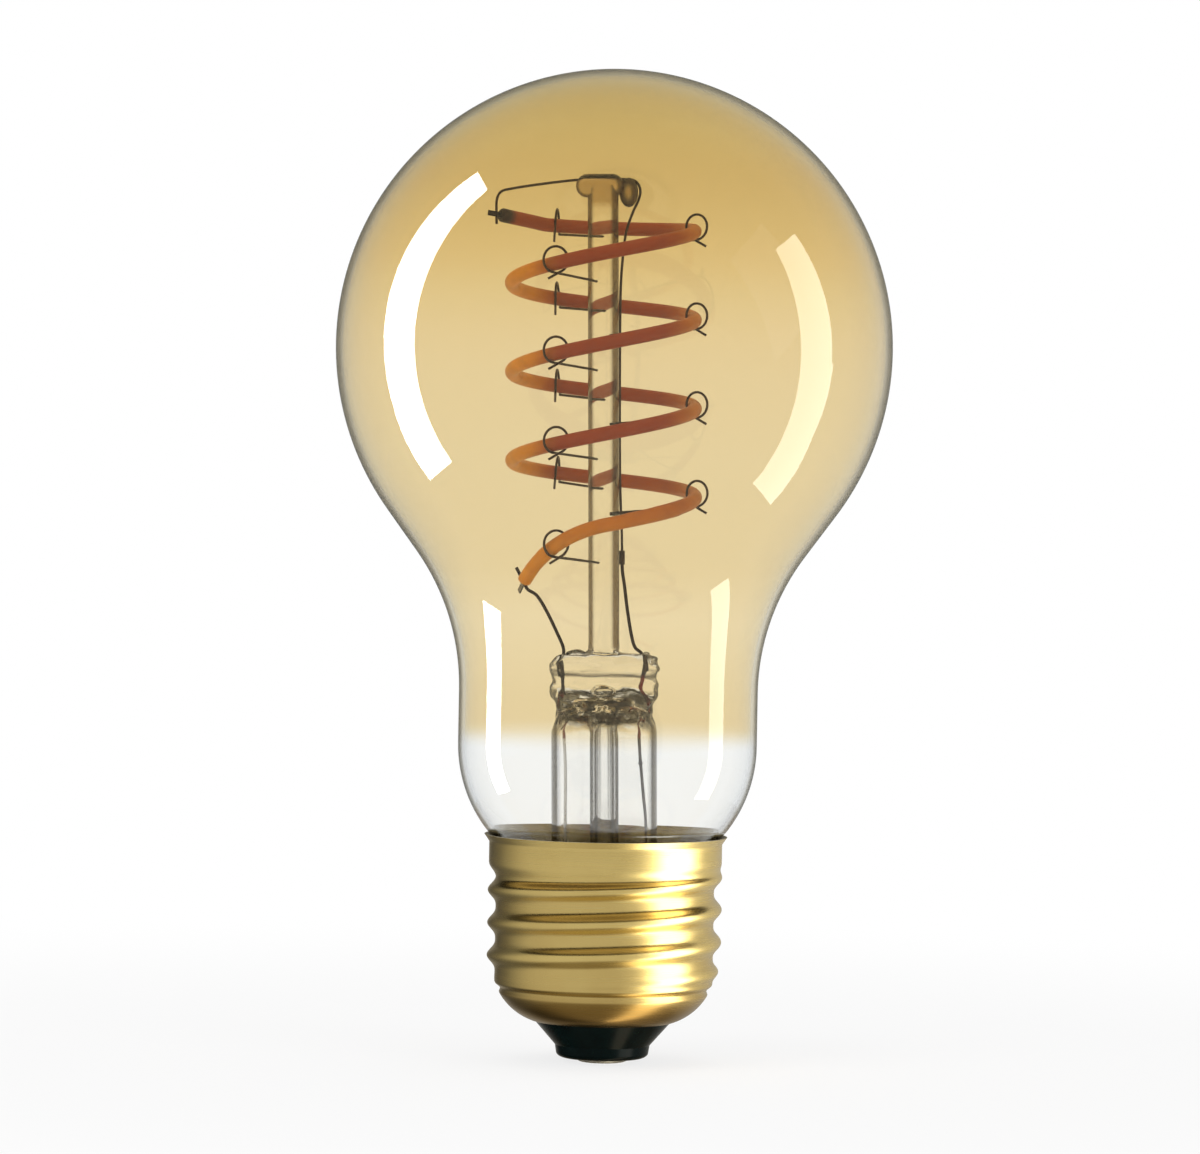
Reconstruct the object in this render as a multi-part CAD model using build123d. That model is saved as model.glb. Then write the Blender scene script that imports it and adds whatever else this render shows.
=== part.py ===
from build123d import *
from math import acos, ceil, cos, degrees, floor, hypot, pi, radians, sin
import os

os.makedirs("parts", exist_ok=True)

# Sizes are in millimetres and angles in degrees.
# The origin is the middle of the contact's underside, +Z runs up the cap's axis and -Y faces the viewer.

# Glass bulb
bulb_radius = 30.9
bulb_wall = 0.7
shoulder_angle = 36.5
shoulder_straight = 5.3
neck_radius = 16.6
neck_length = 6.0
base_curve_radius = 15.5
seal_curve_radius = 3.0
seal_neck_gap = 1.03
seal_neck_length = 5.8
seal_neck_sink = 0.5

# Cap shell
thread_root_radius = 12.13
thread_depth = 0.9
thread_pitch = 3.629
thread_crest = 17.15
thread_start = 8.8
thread_end = 22.3
thread_fade = 2.0
rings_per_pitch = 6
dome_steps = 6
collar_steps = 4
rim_steps = 2
shell_wall = 0.3
collar_step = 0.82
collar_length = 2.1
rim_flare = 0.55
rim_height = 0.8
dome_radius = 6.6
dome_top_angle = -18.0
dome_lip_angle = -73.0

# Insulator and contact
insulator_bottom = 0.45
insulator_foot_radius = 4.1
insulator_heel_radius = 5.15
insulator_heel_height = 1.1
insulator_waist_radius = 5.28
insulator_waist_height = 1.9
insulator_gap = 0.05
flange_angle = -33.0
contact_radius = 2.9
contact_face_radius = 2.2
eyelet_radius = 1.5
eyelet_bore_radius = 0.6
eyelet_length = 2.5

# Capping cement
cement_height = 1.9
cement_gap = 0.05

# Driver board and the parts on it
board_bottom = 11.2
board_thickness = 1.0
board_gap = 0.2
board_hole_gap = 0.25
part_circle = 6.0
package_height = 1.5
rectifier_length = 4.7
rectifier_width = 3.9
chip_length = 4.5
chip_width = 2.5
fuse_radius = 0.8
fuse_length = 3.6
capacitor_radius = 2.0
capacitor_height = 5.0
capacitor_offset = 4.2
supply_wire_radius = 0.25

# Stem
stem_lean = 1.1
flare_radius = 5.9
flare_wall = 0.9
flare_angle = 60.0
seal_gap = 0.25
press_bottom = 36.3
pinch_length = 2.9
press_waist_inset = 0.55
press_waist_depth = 6.4
spread_length = 2.2
press_spread = 0.05
press_depth = 3.8
slab_height = 4.0
press_round = 1.3
press_slit_width = 6.0
press_slit_depth = 1.2
exhaust_radius = 1.6
exhaust_wall = 0.6
exhaust_tip = 13.6
blow_hole_radius = 0.7

# Centre rod
rod_radius = 1.72
button_clearance = 12.87
button_radius = 1.33
button_left = -1.7
button_right = 1.0
lobe_centre = 2.85
lobe_drop = 0.75
lobe_half_width = 1.05
lobe_half_height = 1.65

# Coiled filament
coil_radius = 10.15
coil_drop = 5.05
coil_rise = 13.27
coil_top_pitch = 5.0
coil_tilt_drop = 0.8
coil_first_turn = -0.36
coil_last_turn = 3.414
coil_tail_length = 6.4
coil_tail_rise = 0.9
dip_turns = 0.164
dip_drop = 4.1
strand_radius = 0.78
points_per_turn = 16
tab_width = 0.6
tab_thickness = 0.16
tab_length = 1.8
weld_distance = 0.5

# Support hooks
hooks_per_turn = 3
hook_wire_radius = 0.14
hook_loop_radius = 1.42
hook_loop_out = 0.22
hook_rest_gap = 0.03
hook_stem_angle = 4.0
hook_advance = 0.5
hook_loop_angle = 335.0
hook_arcs = 6
hook_tail_length = 1.7
hook_root_radius = 0.5
slope_step = 0.01

# Leads
lead_radius = 0.19
upper_wire_radius = 0.15
seal_wire_cover = 2.1
seal_wire_free = 0.3
left_seal_inset = 0.4
right_seal_inset = 0.6
bead_drop = 2.8
bead_radius = 0.36
splice_rise = 10.2
splice_length = 1.4
splice_wall = 0.12
riser_gap = 0.3
riser_angle = 20.0
wire_gap = 0.02
wire_bend = 0.6
lead_bend = 1.6
riser_bend = 4.0
riser_bend_drop = 5.0
lobe_wire_gap = 0.3
button_exit = 1.0
knee_in = 1.85
knee_forward = 0.75
knee_drop = 0.7
upper_weld_above = 1.8
upper_weld_below = 1.1
lead_rise = 0.9
lower_weld_before = 1.6
lower_weld_after = 2.4
right_knee_out = 0.8
right_knee_rise = 2.6
splice_approach = 0.8

# Values that follow from the sizes above
shoulder = radians(shoulder_angle)
shoulder_drop = bulb_radius * cos(shoulder) - neck_radius - shoulder_straight * sin(shoulder)
shoulder_radius = shoulder_drop / (1 - cos(shoulder))
seal_neck_radius = thread_root_radius - shell_wall - seal_neck_gap
base_turn = acos(1 - (neck_radius - seal_neck_radius) / (base_curve_radius + seal_curve_radius))
collar_radius = thread_root_radius + collar_step
collar_top = thread_end + collar_length
seal_neck_top = thread_end - seal_neck_sink
seal_bottom = seal_neck_top - seal_neck_length
neck_bottom = seal_neck_top + (base_curve_radius + seal_curve_radius) * sin(base_turn)
neck_top = neck_bottom + neck_length
bulb_centre = neck_top + (shoulder_radius + bulb_radius) * sin(shoulder) + shoulder_straight * cos(shoulder)
dome_x = thread_root_radius - dome_radius * cos(radians(dome_top_angle))
dome_z = thread_start - dome_radius * sin(radians(dome_top_angle))
board_top = board_bottom + board_thickness
flare_foot_radius = seal_neck_radius - bulb_wall - seal_gap
flare_curve_radius = (flare_foot_radius - flare_radius) / (1 - cos(radians(flare_angle)))
flare_top = seal_bottom + flare_curve_radius * sin(radians(flare_angle))
bore_radius = flare_radius - flare_wall
press_waist = press_bottom + pinch_length
press_waist_width = 2 * (flare_radius - press_waist_inset)
press_flat = press_waist + spread_length
press_width = 2 * (flare_radius + press_spread)
press_top = press_flat + slab_height
rod_bottom = press_top - press_round
exhaust_top = press_flat - exhaust_radius / 2
button_height = bulb_centre + bulb_radius - button_clearance
lobe_height = button_height - lobe_drop
coil_top = button_height - coil_drop
coil_pitch = (coil_top - press_top - coil_rise) / coil_last_turn
dip_start = coil_last_turn - dip_turns
first_hook = ceil(coil_first_turn * hooks_per_turn)
last_hook = floor(coil_last_turn * hooks_per_turn)
left_seal_x = left_seal_inset - bore_radius
right_seal_x = bore_radius - right_seal_inset
seal_wire_top = press_top - seal_wire_cover
seal_wire_bottom = press_bottom - seal_wire_free
bead_height = seal_wire_bottom - bead_drop
splice_bottom = press_top + splice_rise
riser_radius = rod_radius + riser_gap + upper_wire_radius
riser_x = riser_radius * cos(radians(riser_angle))
riser_y = riser_radius * sin(radians(riser_angle))
upper_wire_height = button_height + button_radius - 4 * upper_wire_radius - wire_gap

# The stem is sealed in slightly askew, so all that it carries leans with it.
stem_frame = Pos(0, 0, seal_bottom) * Rot(0, -stem_lean, 0) * Pos(0, 0, -seal_bottom)


def keep(name, solid):
    solid.label = name
    export_step(solid, "parts/" + name + ".step")


def keep_on_stem(name, solid):
    keep(name, stem_frame * solid)


def turned(edges):
    return revolve(Plane.XZ * make_face(edges), Axis.Z)


def upright(radius, bottom, top, x=0, y=0):
    return extrude(Pos(x, y, bottom) * Circle(radius), top - bottom)


def wire_along(path, radius):
    return sweep(Plane(path @ 0, z_dir=path % 0) * Circle(radius), path=path)


# Glass bulb: one outline serves for the outside and, set in by the wall, for the inside.
def bulb_outline(inset):
    globe = CenterArc((0, bulb_centre), bulb_radius - inset, 90, -90 - shoulder_angle)
    shoulder_middle = (neck_radius + shoulder_radius, neck_top)
    shoulder_start = 180 - shoulder_angle
    shoulder_arc = CenterArc(shoulder_middle, shoulder_radius + inset, shoulder_start, shoulder_angle)
    base_middle = (neck_radius - base_curve_radius, neck_bottom)
    base_arc = CenterArc(base_middle, base_curve_radius - inset, 0, -degrees(base_turn))
    seal_middle = (seal_neck_radius + seal_curve_radius, seal_neck_top)
    seal_start = 180 - degrees(base_turn)
    seal_arc = CenterArc(seal_middle, seal_curve_radius + inset, seal_start, degrees(base_turn))
    slope = Line(globe @ 1, shoulder_arc @ 0)
    neck = Line(shoulder_arc @ 1, base_arc @ 0)
    skirt = Line(seal_arc @ 1, (seal_neck_radius - inset, seal_bottom))
    return globe + slope + shoulder_arc + neck + base_arc + seal_arc + skirt


bulb_outside = bulb_outline(0)
bulb_inside = bulb_outline(bulb_wall)
bulb_ends = Line(bulb_outside @ 0, bulb_inside @ 0) + Line(bulb_outside @ 1, bulb_inside @ 1)
keep("glass_bulb", turned(bulb_outside + bulb_inside + bulb_ends))


# Cap shell: thin sheet with a rolled knuckle thread. The rings are level sections of it: along the
# thread each is a circle thrown off the axis, with the throw turning once in a pitch.
def smooth_step(value):
    share = min(max(value, 0), 1)
    return share * share * (3 - 2 * share)


def dome_ring(angle, inset):
    radius = dome_radius - inset
    height = dome_z + radius * sin(radians(angle))
    return Pos(0, 0, height) * Circle(dome_x + radius * cos(radians(angle)))


def thread_ring(height, inset):
    turn = 2 * pi * (height - thread_crest) / thread_pitch
    merge = smooth_step((height - thread_end + thread_fade) / thread_fade)
    throw = thread_depth / 2 * smooth_step((height - thread_start) / thread_fade) * (1 - merge)
    radius = thread_root_radius + throw + (collar_radius - thread_root_radius) * merge - inset
    return Pos(throw * cos(turn), throw * sin(turn), height) * Circle(radius)


def collar_ring(height, inset):
    flare = rim_flare * max(height - collar_top, 0) / rim_height
    return Pos(0, 0, height) * Circle(collar_radius + flare - inset)


def shell_form(inset):
    dome_sweep = dome_top_angle - dome_lip_angle
    rings = [dome_ring(dome_lip_angle + dome_sweep * i / dome_steps, inset) for i in range(dome_steps)]
    thread_length = thread_end - thread_start
    thread_steps = round(rings_per_pitch * thread_length / thread_pitch)
    for i in range(thread_steps):
        rings.append(thread_ring(thread_start + thread_length * i / thread_steps, inset))
    for i in range(collar_steps):
        rings.append(collar_ring(thread_end + collar_length * i / collar_steps, inset))
    for i in range(rim_steps + 1):
        rings.append(collar_ring(collar_top + rim_height * i / rim_steps, inset))
    return loft(rings)


lip_radius = dome_x + (dome_radius - shell_wall) * cos(radians(dome_lip_angle)) - insulator_gap
lip_height = dome_z + dome_radius * sin(radians(dome_lip_angle))
lip_hole = upright(lip_radius, lip_height - shell_wall, lip_height + 2 * shell_wall)
keep("cap_shell", shell_form(0) - shell_form(shell_wall) - lip_hole)

# Insulator: a cone below the shell's lip and a flange bedded on the dome's inside.
bed_radius = dome_radius - shell_wall - insulator_gap
flange = CenterArc((dome_x, dome_z), bed_radius, dome_lip_angle, flange_angle - dome_lip_angle)
bore = eyelet_radius + insulator_gap
foot = (insulator_foot_radius, insulator_bottom)
heel = (insulator_heel_radius, insulator_heel_height)
waist = (insulator_waist_radius, insulator_waist_height)
cone_radius = lip_radius - insulator_gap
insulator_outline = (
    Line((bore, insulator_bottom), foot)
    + Spline(foot, heel, tangents=((1, 0), (0, 1)))
    + Polyline(heel, waist, (cone_radius, lip_height), (cone_radius, (flange @ 0).Y), flange @ 0)
    + flange
    + Polyline(flange @ 1, (bore, (flange @ 1).Y), (bore, insulator_bottom))
)
keep("cap_insulator", turned(insulator_outline))

# Centre contact: an eyelet with a rounded head and a blind bore for the live wire.
contact_edge = (contact_radius, insulator_bottom)
contact_outline = (
    Line((0, 0), (contact_face_radius, 0))
    + Spline((contact_face_radius, 0), contact_edge, tangents=((1, 0), (0, 1)))
    + Polyline(
        contact_edge,
        (eyelet_radius, insulator_bottom),
        (eyelet_radius, insulator_bottom + eyelet_length),
        (eyelet_bore_radius, insulator_bottom + eyelet_length),
        (eyelet_bore_radius, insulator_bottom),
        (0, insulator_bottom),
        (0, 0),
    )
)
keep("centre_contact", turned(contact_outline))

# Cement ring between the collar and the glass
bulb_axis = Polyline(bulb_outside @ 1, (0, seal_bottom), bulb_outside @ 0)
cement_radius = collar_radius - shell_wall - cement_gap
cement_blank = upright(cement_radius, thread_end, thread_end + cement_height)
keep("capping_cement", cement_blank - turned(bulb_outside + bulb_axis))

# Driver board, with the lead holes and the parts soldered to it
board = upright(thread_root_radius - shell_wall - board_gap, board_bottom, board_top)
for lead_x in (left_seal_x, right_seal_x):
    board -= upright(lead_radius + board_hole_gap, board_bottom, board_top, lead_x)
keep("driver_board", board)

below_board = board_bottom - package_height / 2
rectifier = Pos(0, part_circle, below_board) * Box(rectifier_length, rectifier_width, package_height)
keep("bridge_rectifier", rectifier)
chip = Pos(0, -part_circle, below_board) * Box(chip_length, chip_width, package_height)
keep("driver_chip", chip)
fuse = Pos(part_circle, 0, board_bottom - fuse_radius) * Rot(90, 0, 0) * Cylinder(fuse_radius, fuse_length)
keep("fuse_resistor", fuse)
can = upright(capacitor_radius, board_top, board_top + capacitor_height, y=capacitor_offset)
keep("smoothing_capacitor", can)
keep("live_wire", upright(supply_wire_radius, insulator_bottom, board_bottom))
neutral_x = -(seal_neck_radius + thread_root_radius - shell_wall) / 2
keep("neutral_wire", upright(supply_wire_radius, board_top, thread_end, neutral_x))

# Stem flare: a tube that opens to a foot below and is pinched flat into the press above.
flare_middle = (flare_radius + flare_curve_radius, flare_top)
foot_start = 180 + flare_angle
flare_outside = CenterArc(flare_middle, flare_curve_radius, foot_start, -flare_angle)
flare_inside = CenterArc(flare_middle, flare_curve_radius + flare_wall, foot_start, -flare_angle)
flare_sides = Polyline(
    flare_outside @ 1,
    (flare_radius, press_bottom),
    (bore_radius, press_bottom),
    flare_inside @ 1,
)
flare_tube = turned(flare_outside + flare_sides + flare_inside + Line(flare_outside @ 0, flare_inside @ 0))


def slot_at(height, width, depth):
    return Pos(0, 0, height) * SlotOverall(width, depth)


waist_slot = slot_at(press_waist, press_waist_width, press_waist_depth)
flat_slot = slot_at(press_flat, press_width, press_depth)
pinch = loft([Pos(0, 0, press_bottom) * Circle(flare_radius), waist_slot, flat_slot])
slab = extrude(flat_slot, press_top - press_flat)
slab = fillet(slab.faces().sort_by(Axis.Z)[-1].edges(), press_round)
hollow_waist = slot_at(press_waist, press_waist_width - 2 * flare_wall, press_waist_depth - 2 * flare_wall)
hollow_end = slot_at((press_waist + press_flat) / 2, press_slit_width, press_slit_depth)
hollow = loft([Pos(0, 0, press_bottom) * Circle(bore_radius), hollow_waist, hollow_end])

# Exhaust tube, sealed off at its tip, with a blow hole through the press at its upper end
tip_centre = exhaust_tip + exhaust_radius


def exhaust_body(inset):
    radius = exhaust_radius - inset
    tip = CenterArc((0, tip_centre), radius, -90, 90)
    crown = CenterArc((0, exhaust_top), radius, 0, 90)
    return turned(tip + Line(tip @ 1, crown @ 0) + crown + Line(crown @ 1, tip @ 0))


blow_hole = Pos(0, -press_depth / 2, exhaust_top) * Rot(90, 0, 0) * Cylinder(blow_hole_radius, press_depth)
keep_on_stem("exhaust_tube", exhaust_body(0) - exhaust_body(exhaust_wall) - blow_hole)

left_seal = upright(lead_radius, seal_wire_bottom, press_top, left_seal_x)
right_seal = upright(lead_radius, seal_wire_bottom, press_top, right_seal_x)
stem_flare = flare_tube + (pinch + slab - hollow)
rod_socket = upright(rod_radius, rod_bottom, press_top)
stem_flare = stem_flare - exhaust_body(0) - blow_hole - left_seal - right_seal - rod_socket
keep_on_stem("stem_flare", stem_flare)
keep_on_stem("seal_wire_left", upright(lead_radius, seal_wire_bottom, seal_wire_top, left_seal_x))
keep_on_stem("seal_wire_right", upright(lead_radius, seal_wire_bottom, seal_wire_top, right_seal_x))


# Outer leads, each with the bead of its butt weld, end in the board's holes.
def outer_lead(lead_x):
    bead = Pos(lead_x, 0, bead_height) * Sphere(bead_radius)
    return upright(lead_radius, board_bottom, seal_wire_bottom, lead_x) + bead


keep_on_stem("outer_lead_left", outer_lead(left_seal_x))
keep_on_stem("outer_lead_right", outer_lead(right_seal_x))


# Coiled filament: a coil with a flatter first half turn, a straight upper end and a dipping lower end
def coil_point(turn):
    angle = 2 * pi * turn
    pitch = coil_pitch if turn > 0 else coil_top_pitch
    sag = coil_tilt_drop * (1 - cos(angle)) / 2
    dip = dip_drop * (max(turn - dip_start, 0) / dip_turns) ** 2
    height = coil_top - pitch * turn - sag - dip
    return Vector(coil_radius * cos(angle), -coil_radius * sin(angle), height)


coil_turns = coil_last_turn - coil_first_turn
coil_steps = round(points_per_turn * coil_turns)
coil_points = [coil_point(coil_first_turn + coil_turns * i / coil_steps) for i in range(coil_steps + 1)]
first_angle = 2 * pi * coil_first_turn
tail = Vector(sin(first_angle), cos(first_angle), 0) * coil_tail_length + Vector(0, 0, coil_tail_rise)
strand = Spline(coil_points[0] + tail, coil_points[0] + tail / 2, *coil_points)


def strand_plane(position, outward):
    along = (strand % position) * outward
    return Plane(strand @ position, x_dir=along.cross(Vector(0, 0, 1)), z_dir=along)


keep_on_stem("filament", wire_along(strand, strand_radius))

upper_end = strand_plane(0, -1)
lower_end = strand_plane(1, 1)
keep_on_stem("filament_tab_upper", extrude(upper_end * Rectangle(tab_thickness, tab_width), tab_length))
keep_on_stem("filament_tab_lower", extrude(lower_end * Rectangle(tab_thickness, tab_width), tab_length))


# Support hooks: a stem out of the rod, one open pigtail round the strand and a tail that crosses the stem
def strand_slope(turn):
    ahead = coil_point(turn + slope_step)
    behind = coil_point(turn - slope_step)
    return abs(ahead.Z - behind.Z) / hypot(ahead.X - behind.X, ahead.Y - behind.Y)


def hook_lines(turn):
    slope = strand_slope(turn)
    side = hook_advance / 2 + hook_wire_radius
    rest = strand_radius * hypot(1, slope) + side * slope + hook_rest_gap
    lift = hook_loop_radius - hook_wire_radius - rest
    out = coil_radius + hook_loop_out
    stem_turn = radians(hook_stem_angle)
    loop_turn = radians(hook_loop_angle)

    def loop_point(share):
        angle = stem_turn + loop_turn * share
        x = out + hook_loop_radius * sin(angle)
        z = lift - hook_loop_radius * cos(angle)
        return Vector(x, hook_advance * (share - 0.5), z)

    stem_way = Vector(cos(stem_turn), 0, sin(stem_turn))
    stem_length = (loop_point(0).X - hook_root_radius) / cos(stem_turn)
    stem = Line(loop_point(0) - stem_way * stem_length, loop_point(0))
    path = [stem]
    for i in range(hook_arcs):
        path.append(TangentArc(path[-1] @ 1, loop_point((i + 1) / hook_arcs), tangent=path[-1] % 1))
    path.append(Line(path[-1] @ 1, (path[-1] @ 1) + (path[-1] % 1) * hook_tail_length))
    place = Pos(0, 0, coil_point(turn).Z) * Rot(0, 0, -360 * turn)
    return place, path


rod = upright(rod_radius, rod_bottom, button_height)
barrel = Pos((button_left + button_right) / 2, 0, button_height) * Rot(0, 90, 0) * Cylinder(
    button_radius, button_right - button_left
)
barrel_ends = [Pos(x, 0, button_height) * Sphere(button_radius) for x in (button_left, button_right)]
lobe_size = (lobe_half_width, lobe_half_width, lobe_half_height)
lobe = Pos(lobe_centre, 0, lobe_height) * scale(Sphere(1), by=lobe_size)
rod = rod + barrel + barrel_ends + lobe

for i in range(first_hook, last_hook + 1):
    hook_place, hook_path = hook_lines(i / hooks_per_turn)
    hook = wire_along(Wire(hook_path), hook_wire_radius)
    keep_on_stem("support_hook_{:02d}".format(i - first_hook + 1), hook_place * hook)
    rod -= hook_place * wire_along(hook_path[0], hook_wire_radius)

# Upper wire: up beside the rod, round the lobe, straight through the button and out to the upper tab
lobe_right = lobe_centre + lobe_half_width
upper_face = tab_thickness / 2 + upper_wire_radius + wire_gap
upper_weld = (upper_end * Pos(upper_face, 0, weld_distance)).position
corner = Vector(lobe_right + lobe_wire_gap, 0, upper_wire_height)
leave = Vector(button_left - button_radius, 0, upper_wire_height)
riser_start = Vector(riser_x, riser_y, splice_bottom + splice_length / 2)
upper_path = FilletPolyline(
    riser_start,
    (riser_x, riser_y, coil_top - riser_bend_drop),
    (corner.X, 0, lobe_height - wire_bend),
    corner,
    (leave.X - button_exit, 0, upper_wire_height),
    (upper_weld.X + knee_in, upper_weld.Y - knee_forward, upper_wire_height - knee_drop),
    upper_weld + Vector(0, 0, upper_weld_above),
    upper_weld - Vector(0, 0, upper_weld_below),
    radius=(riser_bend, riser_bend, wire_bend, riser_bend, lead_bend, wire_bend),
)
keep_on_stem("upper_wire", wire_along(upper_path, upper_wire_radius))
button_bore = wire_along(Line(corner - Vector(wire_bend, 0, 0), leave), upper_wire_radius)
keep_on_stem("centre_rod", rod - button_bore)

# Inner leads rise out of the press, the left one to the lower tab and the right one to the splice.
lower_face = tab_thickness / 2 + lead_radius + wire_gap
lower_weld = (lower_end * Pos(lower_face, 0, weld_distance)).position
weld_way = -lower_end.y_dir
left_path = FilletPolyline(
    (left_seal_x, 0, seal_wire_top),
    (left_seal_x, 0, press_top + lead_rise),
    lower_weld - weld_way * lower_weld_before,
    lower_weld + weld_way * lower_weld_after,
    radius=lead_bend,
)
keep_on_stem("inner_lead_left", wire_along(left_path, lead_radius))

right_path = FilletPolyline(
    (right_seal_x, 0, seal_wire_top),
    (right_seal_x, 0, press_top + lead_rise),
    (riser_x + right_knee_out, riser_y / 2, press_top + right_knee_rise),
    (riser_x, riser_y, splice_bottom - splice_approach),
    riser_start,
    radius=lead_bend,
)
keep_on_stem("inner_lead_right", wire_along(right_path, lead_radius))
sleeve = upright(lead_radius + splice_wall, splice_bottom, splice_bottom + splice_length, riser_x, riser_y)
sleeve_bore = upright(lead_radius, splice_bottom, splice_bottom + splice_length, riser_x, riser_y)
keep_on_stem("lead_splice", sleeve - sleeve_bore)
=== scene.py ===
import math

import bmesh
import bpy
from mathutils import Matrix, Vector, noise


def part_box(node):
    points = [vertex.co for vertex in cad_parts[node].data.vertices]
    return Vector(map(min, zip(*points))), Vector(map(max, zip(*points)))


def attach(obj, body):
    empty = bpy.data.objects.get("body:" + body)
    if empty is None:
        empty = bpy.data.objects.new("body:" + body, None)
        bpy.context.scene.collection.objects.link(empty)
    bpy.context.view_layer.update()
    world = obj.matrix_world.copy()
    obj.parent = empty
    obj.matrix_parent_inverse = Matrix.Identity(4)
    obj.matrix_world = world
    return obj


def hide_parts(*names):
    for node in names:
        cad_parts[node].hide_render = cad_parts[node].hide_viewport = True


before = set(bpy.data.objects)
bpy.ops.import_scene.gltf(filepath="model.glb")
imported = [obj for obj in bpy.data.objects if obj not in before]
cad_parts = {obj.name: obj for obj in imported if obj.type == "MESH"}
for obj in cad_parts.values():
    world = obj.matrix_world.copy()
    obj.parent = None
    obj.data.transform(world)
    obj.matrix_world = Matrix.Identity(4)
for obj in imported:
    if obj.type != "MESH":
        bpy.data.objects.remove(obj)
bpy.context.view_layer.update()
mm = 0.001
print("frame loaded:", len(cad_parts), "nodes")


# colours are written as screen values and turned into light values here
def srgb(red, green, blue):
    def light(value):
        share = value / 255
        return share / 12.92 if share <= 0.04045 else ((share + 0.055) / 1.055) ** 2.4

    return light(red), light(green), light(blue)


# the tint of one glass wall, from the colour seen through a front and a back wall
def wallTint(red, green, blue):
    return tuple(math.sqrt(value) for value in srgb(red, green, blue))


# node helpers

# sets the inputs of a node: an output of another node is linked, anything else is the value itself
def feed(node, inputs):
    for key, value in inputs.items():
        socket = node.inputs[key]
        if isinstance(value, bpy.types.NodeSocket):
            node.id_data.links.new(value, socket)
        else:
            socket.default_value = (*value, 1.0) if socket.type == "RGBA" else value


def addNode(tree, kind, inputs=None, **settings):
    node = tree.nodes.new(kind)
    for key, value in settings.items():
        setattr(node, key, value)
    feed(node, inputs or {})
    return node


def objectPosition(tree):
    return addNode(tree, "ShaderNodeTexCoord").outputs["Object"]


def newMaterial(name):
    material = bpy.data.materials.new(name)
    material.use_nodes = True
    tree = material.node_tree
    return material, tree.nodes["Principled BSDF"], objectPosition(tree)


# a node in the tree of the sockets that it is fed from
def nextNode(kind, inputs, **settings):
    source = next(value for value in inputs.values() if isinstance(value, bpy.types.NodeSocket))
    return addNode(source.id_data, kind, inputs, **settings)


def axisValue(vector, axis):
    return nextNode("ShaderNodeSeparateXYZ", {0: vector}).outputs[axis]


def mapped(value, fromLow, fromHigh, toLow=0.0, toHigh=1.0):
    inputs = {"Value": value, "From Min": fromLow, "From Max": fromHigh, "To Min": toLow, "To Max": toHigh}
    node = nextNode("ShaderNodeMapRange", inputs, interpolation_type="SMOOTHSTEP")
    return node.outputs["Result"]


def mathOf(operation, first, second):
    return nextNode("ShaderNodeMath", {0: first, 1: second}, operation=operation).outputs[0]


# rises over the first pair of limits and falls over the second
def between(value, rise, fall):
    return mathOf("MULTIPLY", mapped(value, *rise), mapped(value, *fall))


def rampOf(value, stops):
    ramp = nextNode("ShaderNodeValToRGB", {0: value})
    elements = ramp.color_ramp.elements
    while len(elements) < len(stops):
        elements.new(1.0)
    for element, (place, colour) in zip(elements, stops):
        element.position = place
        element.color = (*colour, 1.0)
    return ramp.outputs["Color"]


def mixed(share, first, second, blend="MIX"):
    inputs = {0: share, 6: first, 7: second}
    return nextNode("ShaderNodeMix", inputs, data_type="RGBA", blend_type=blend).outputs[2]


def stretched(vector, scale):
    return nextNode("ShaderNodeMapping", {"Vector": vector, "Scale": scale}).outputs["Vector"]


def distanceOf(place, middle=(0.0, 0.0, 0.0)):
    node = nextNode("ShaderNodeVectorMath", {0: place, 1: middle}, operation="DISTANCE")
    return node.outputs["Value"]


def axisDistance(place):
    return distanceOf(stretched(place, (1.0, 1.0, 0.0)))


def facingOf(tree):
    return addNode(tree, "ShaderNodeLayerWeight", {"Blend": 0.5}).outputs["Facing"]


# most of a noise lies between these
noiseRange = (0.2, 0.8)


def roughOf(grain, low, high):
    return mapped(grain, *noiseRange, low, high)


# the mark that markInside leaves on the mesh
def insideOf(tree):
    return addNode(tree, "ShaderNodeAttribute", attribute_name="inside").outputs["Fac"]


def noiseOf(vector, scale, detail):
    inputs = {"Vector": vector, "Scale": scale, "Detail": detail}
    return nextNode("ShaderNodeTexNoise", inputs).outputs["Fac"]


def bumpOf(height, strength, distance):
    inputs = {"Height": height, "Strength": strength, "Distance": distance}
    return nextNode("ShaderNodeBump", inputs).outputs["Normal"]


# finishes

def feedGlass(shader, colour):
    feed(shader, {"Base Color": colour, "Transmission Weight": 1.0, "Roughness": 0.0, "IOR": 1.5})


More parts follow.
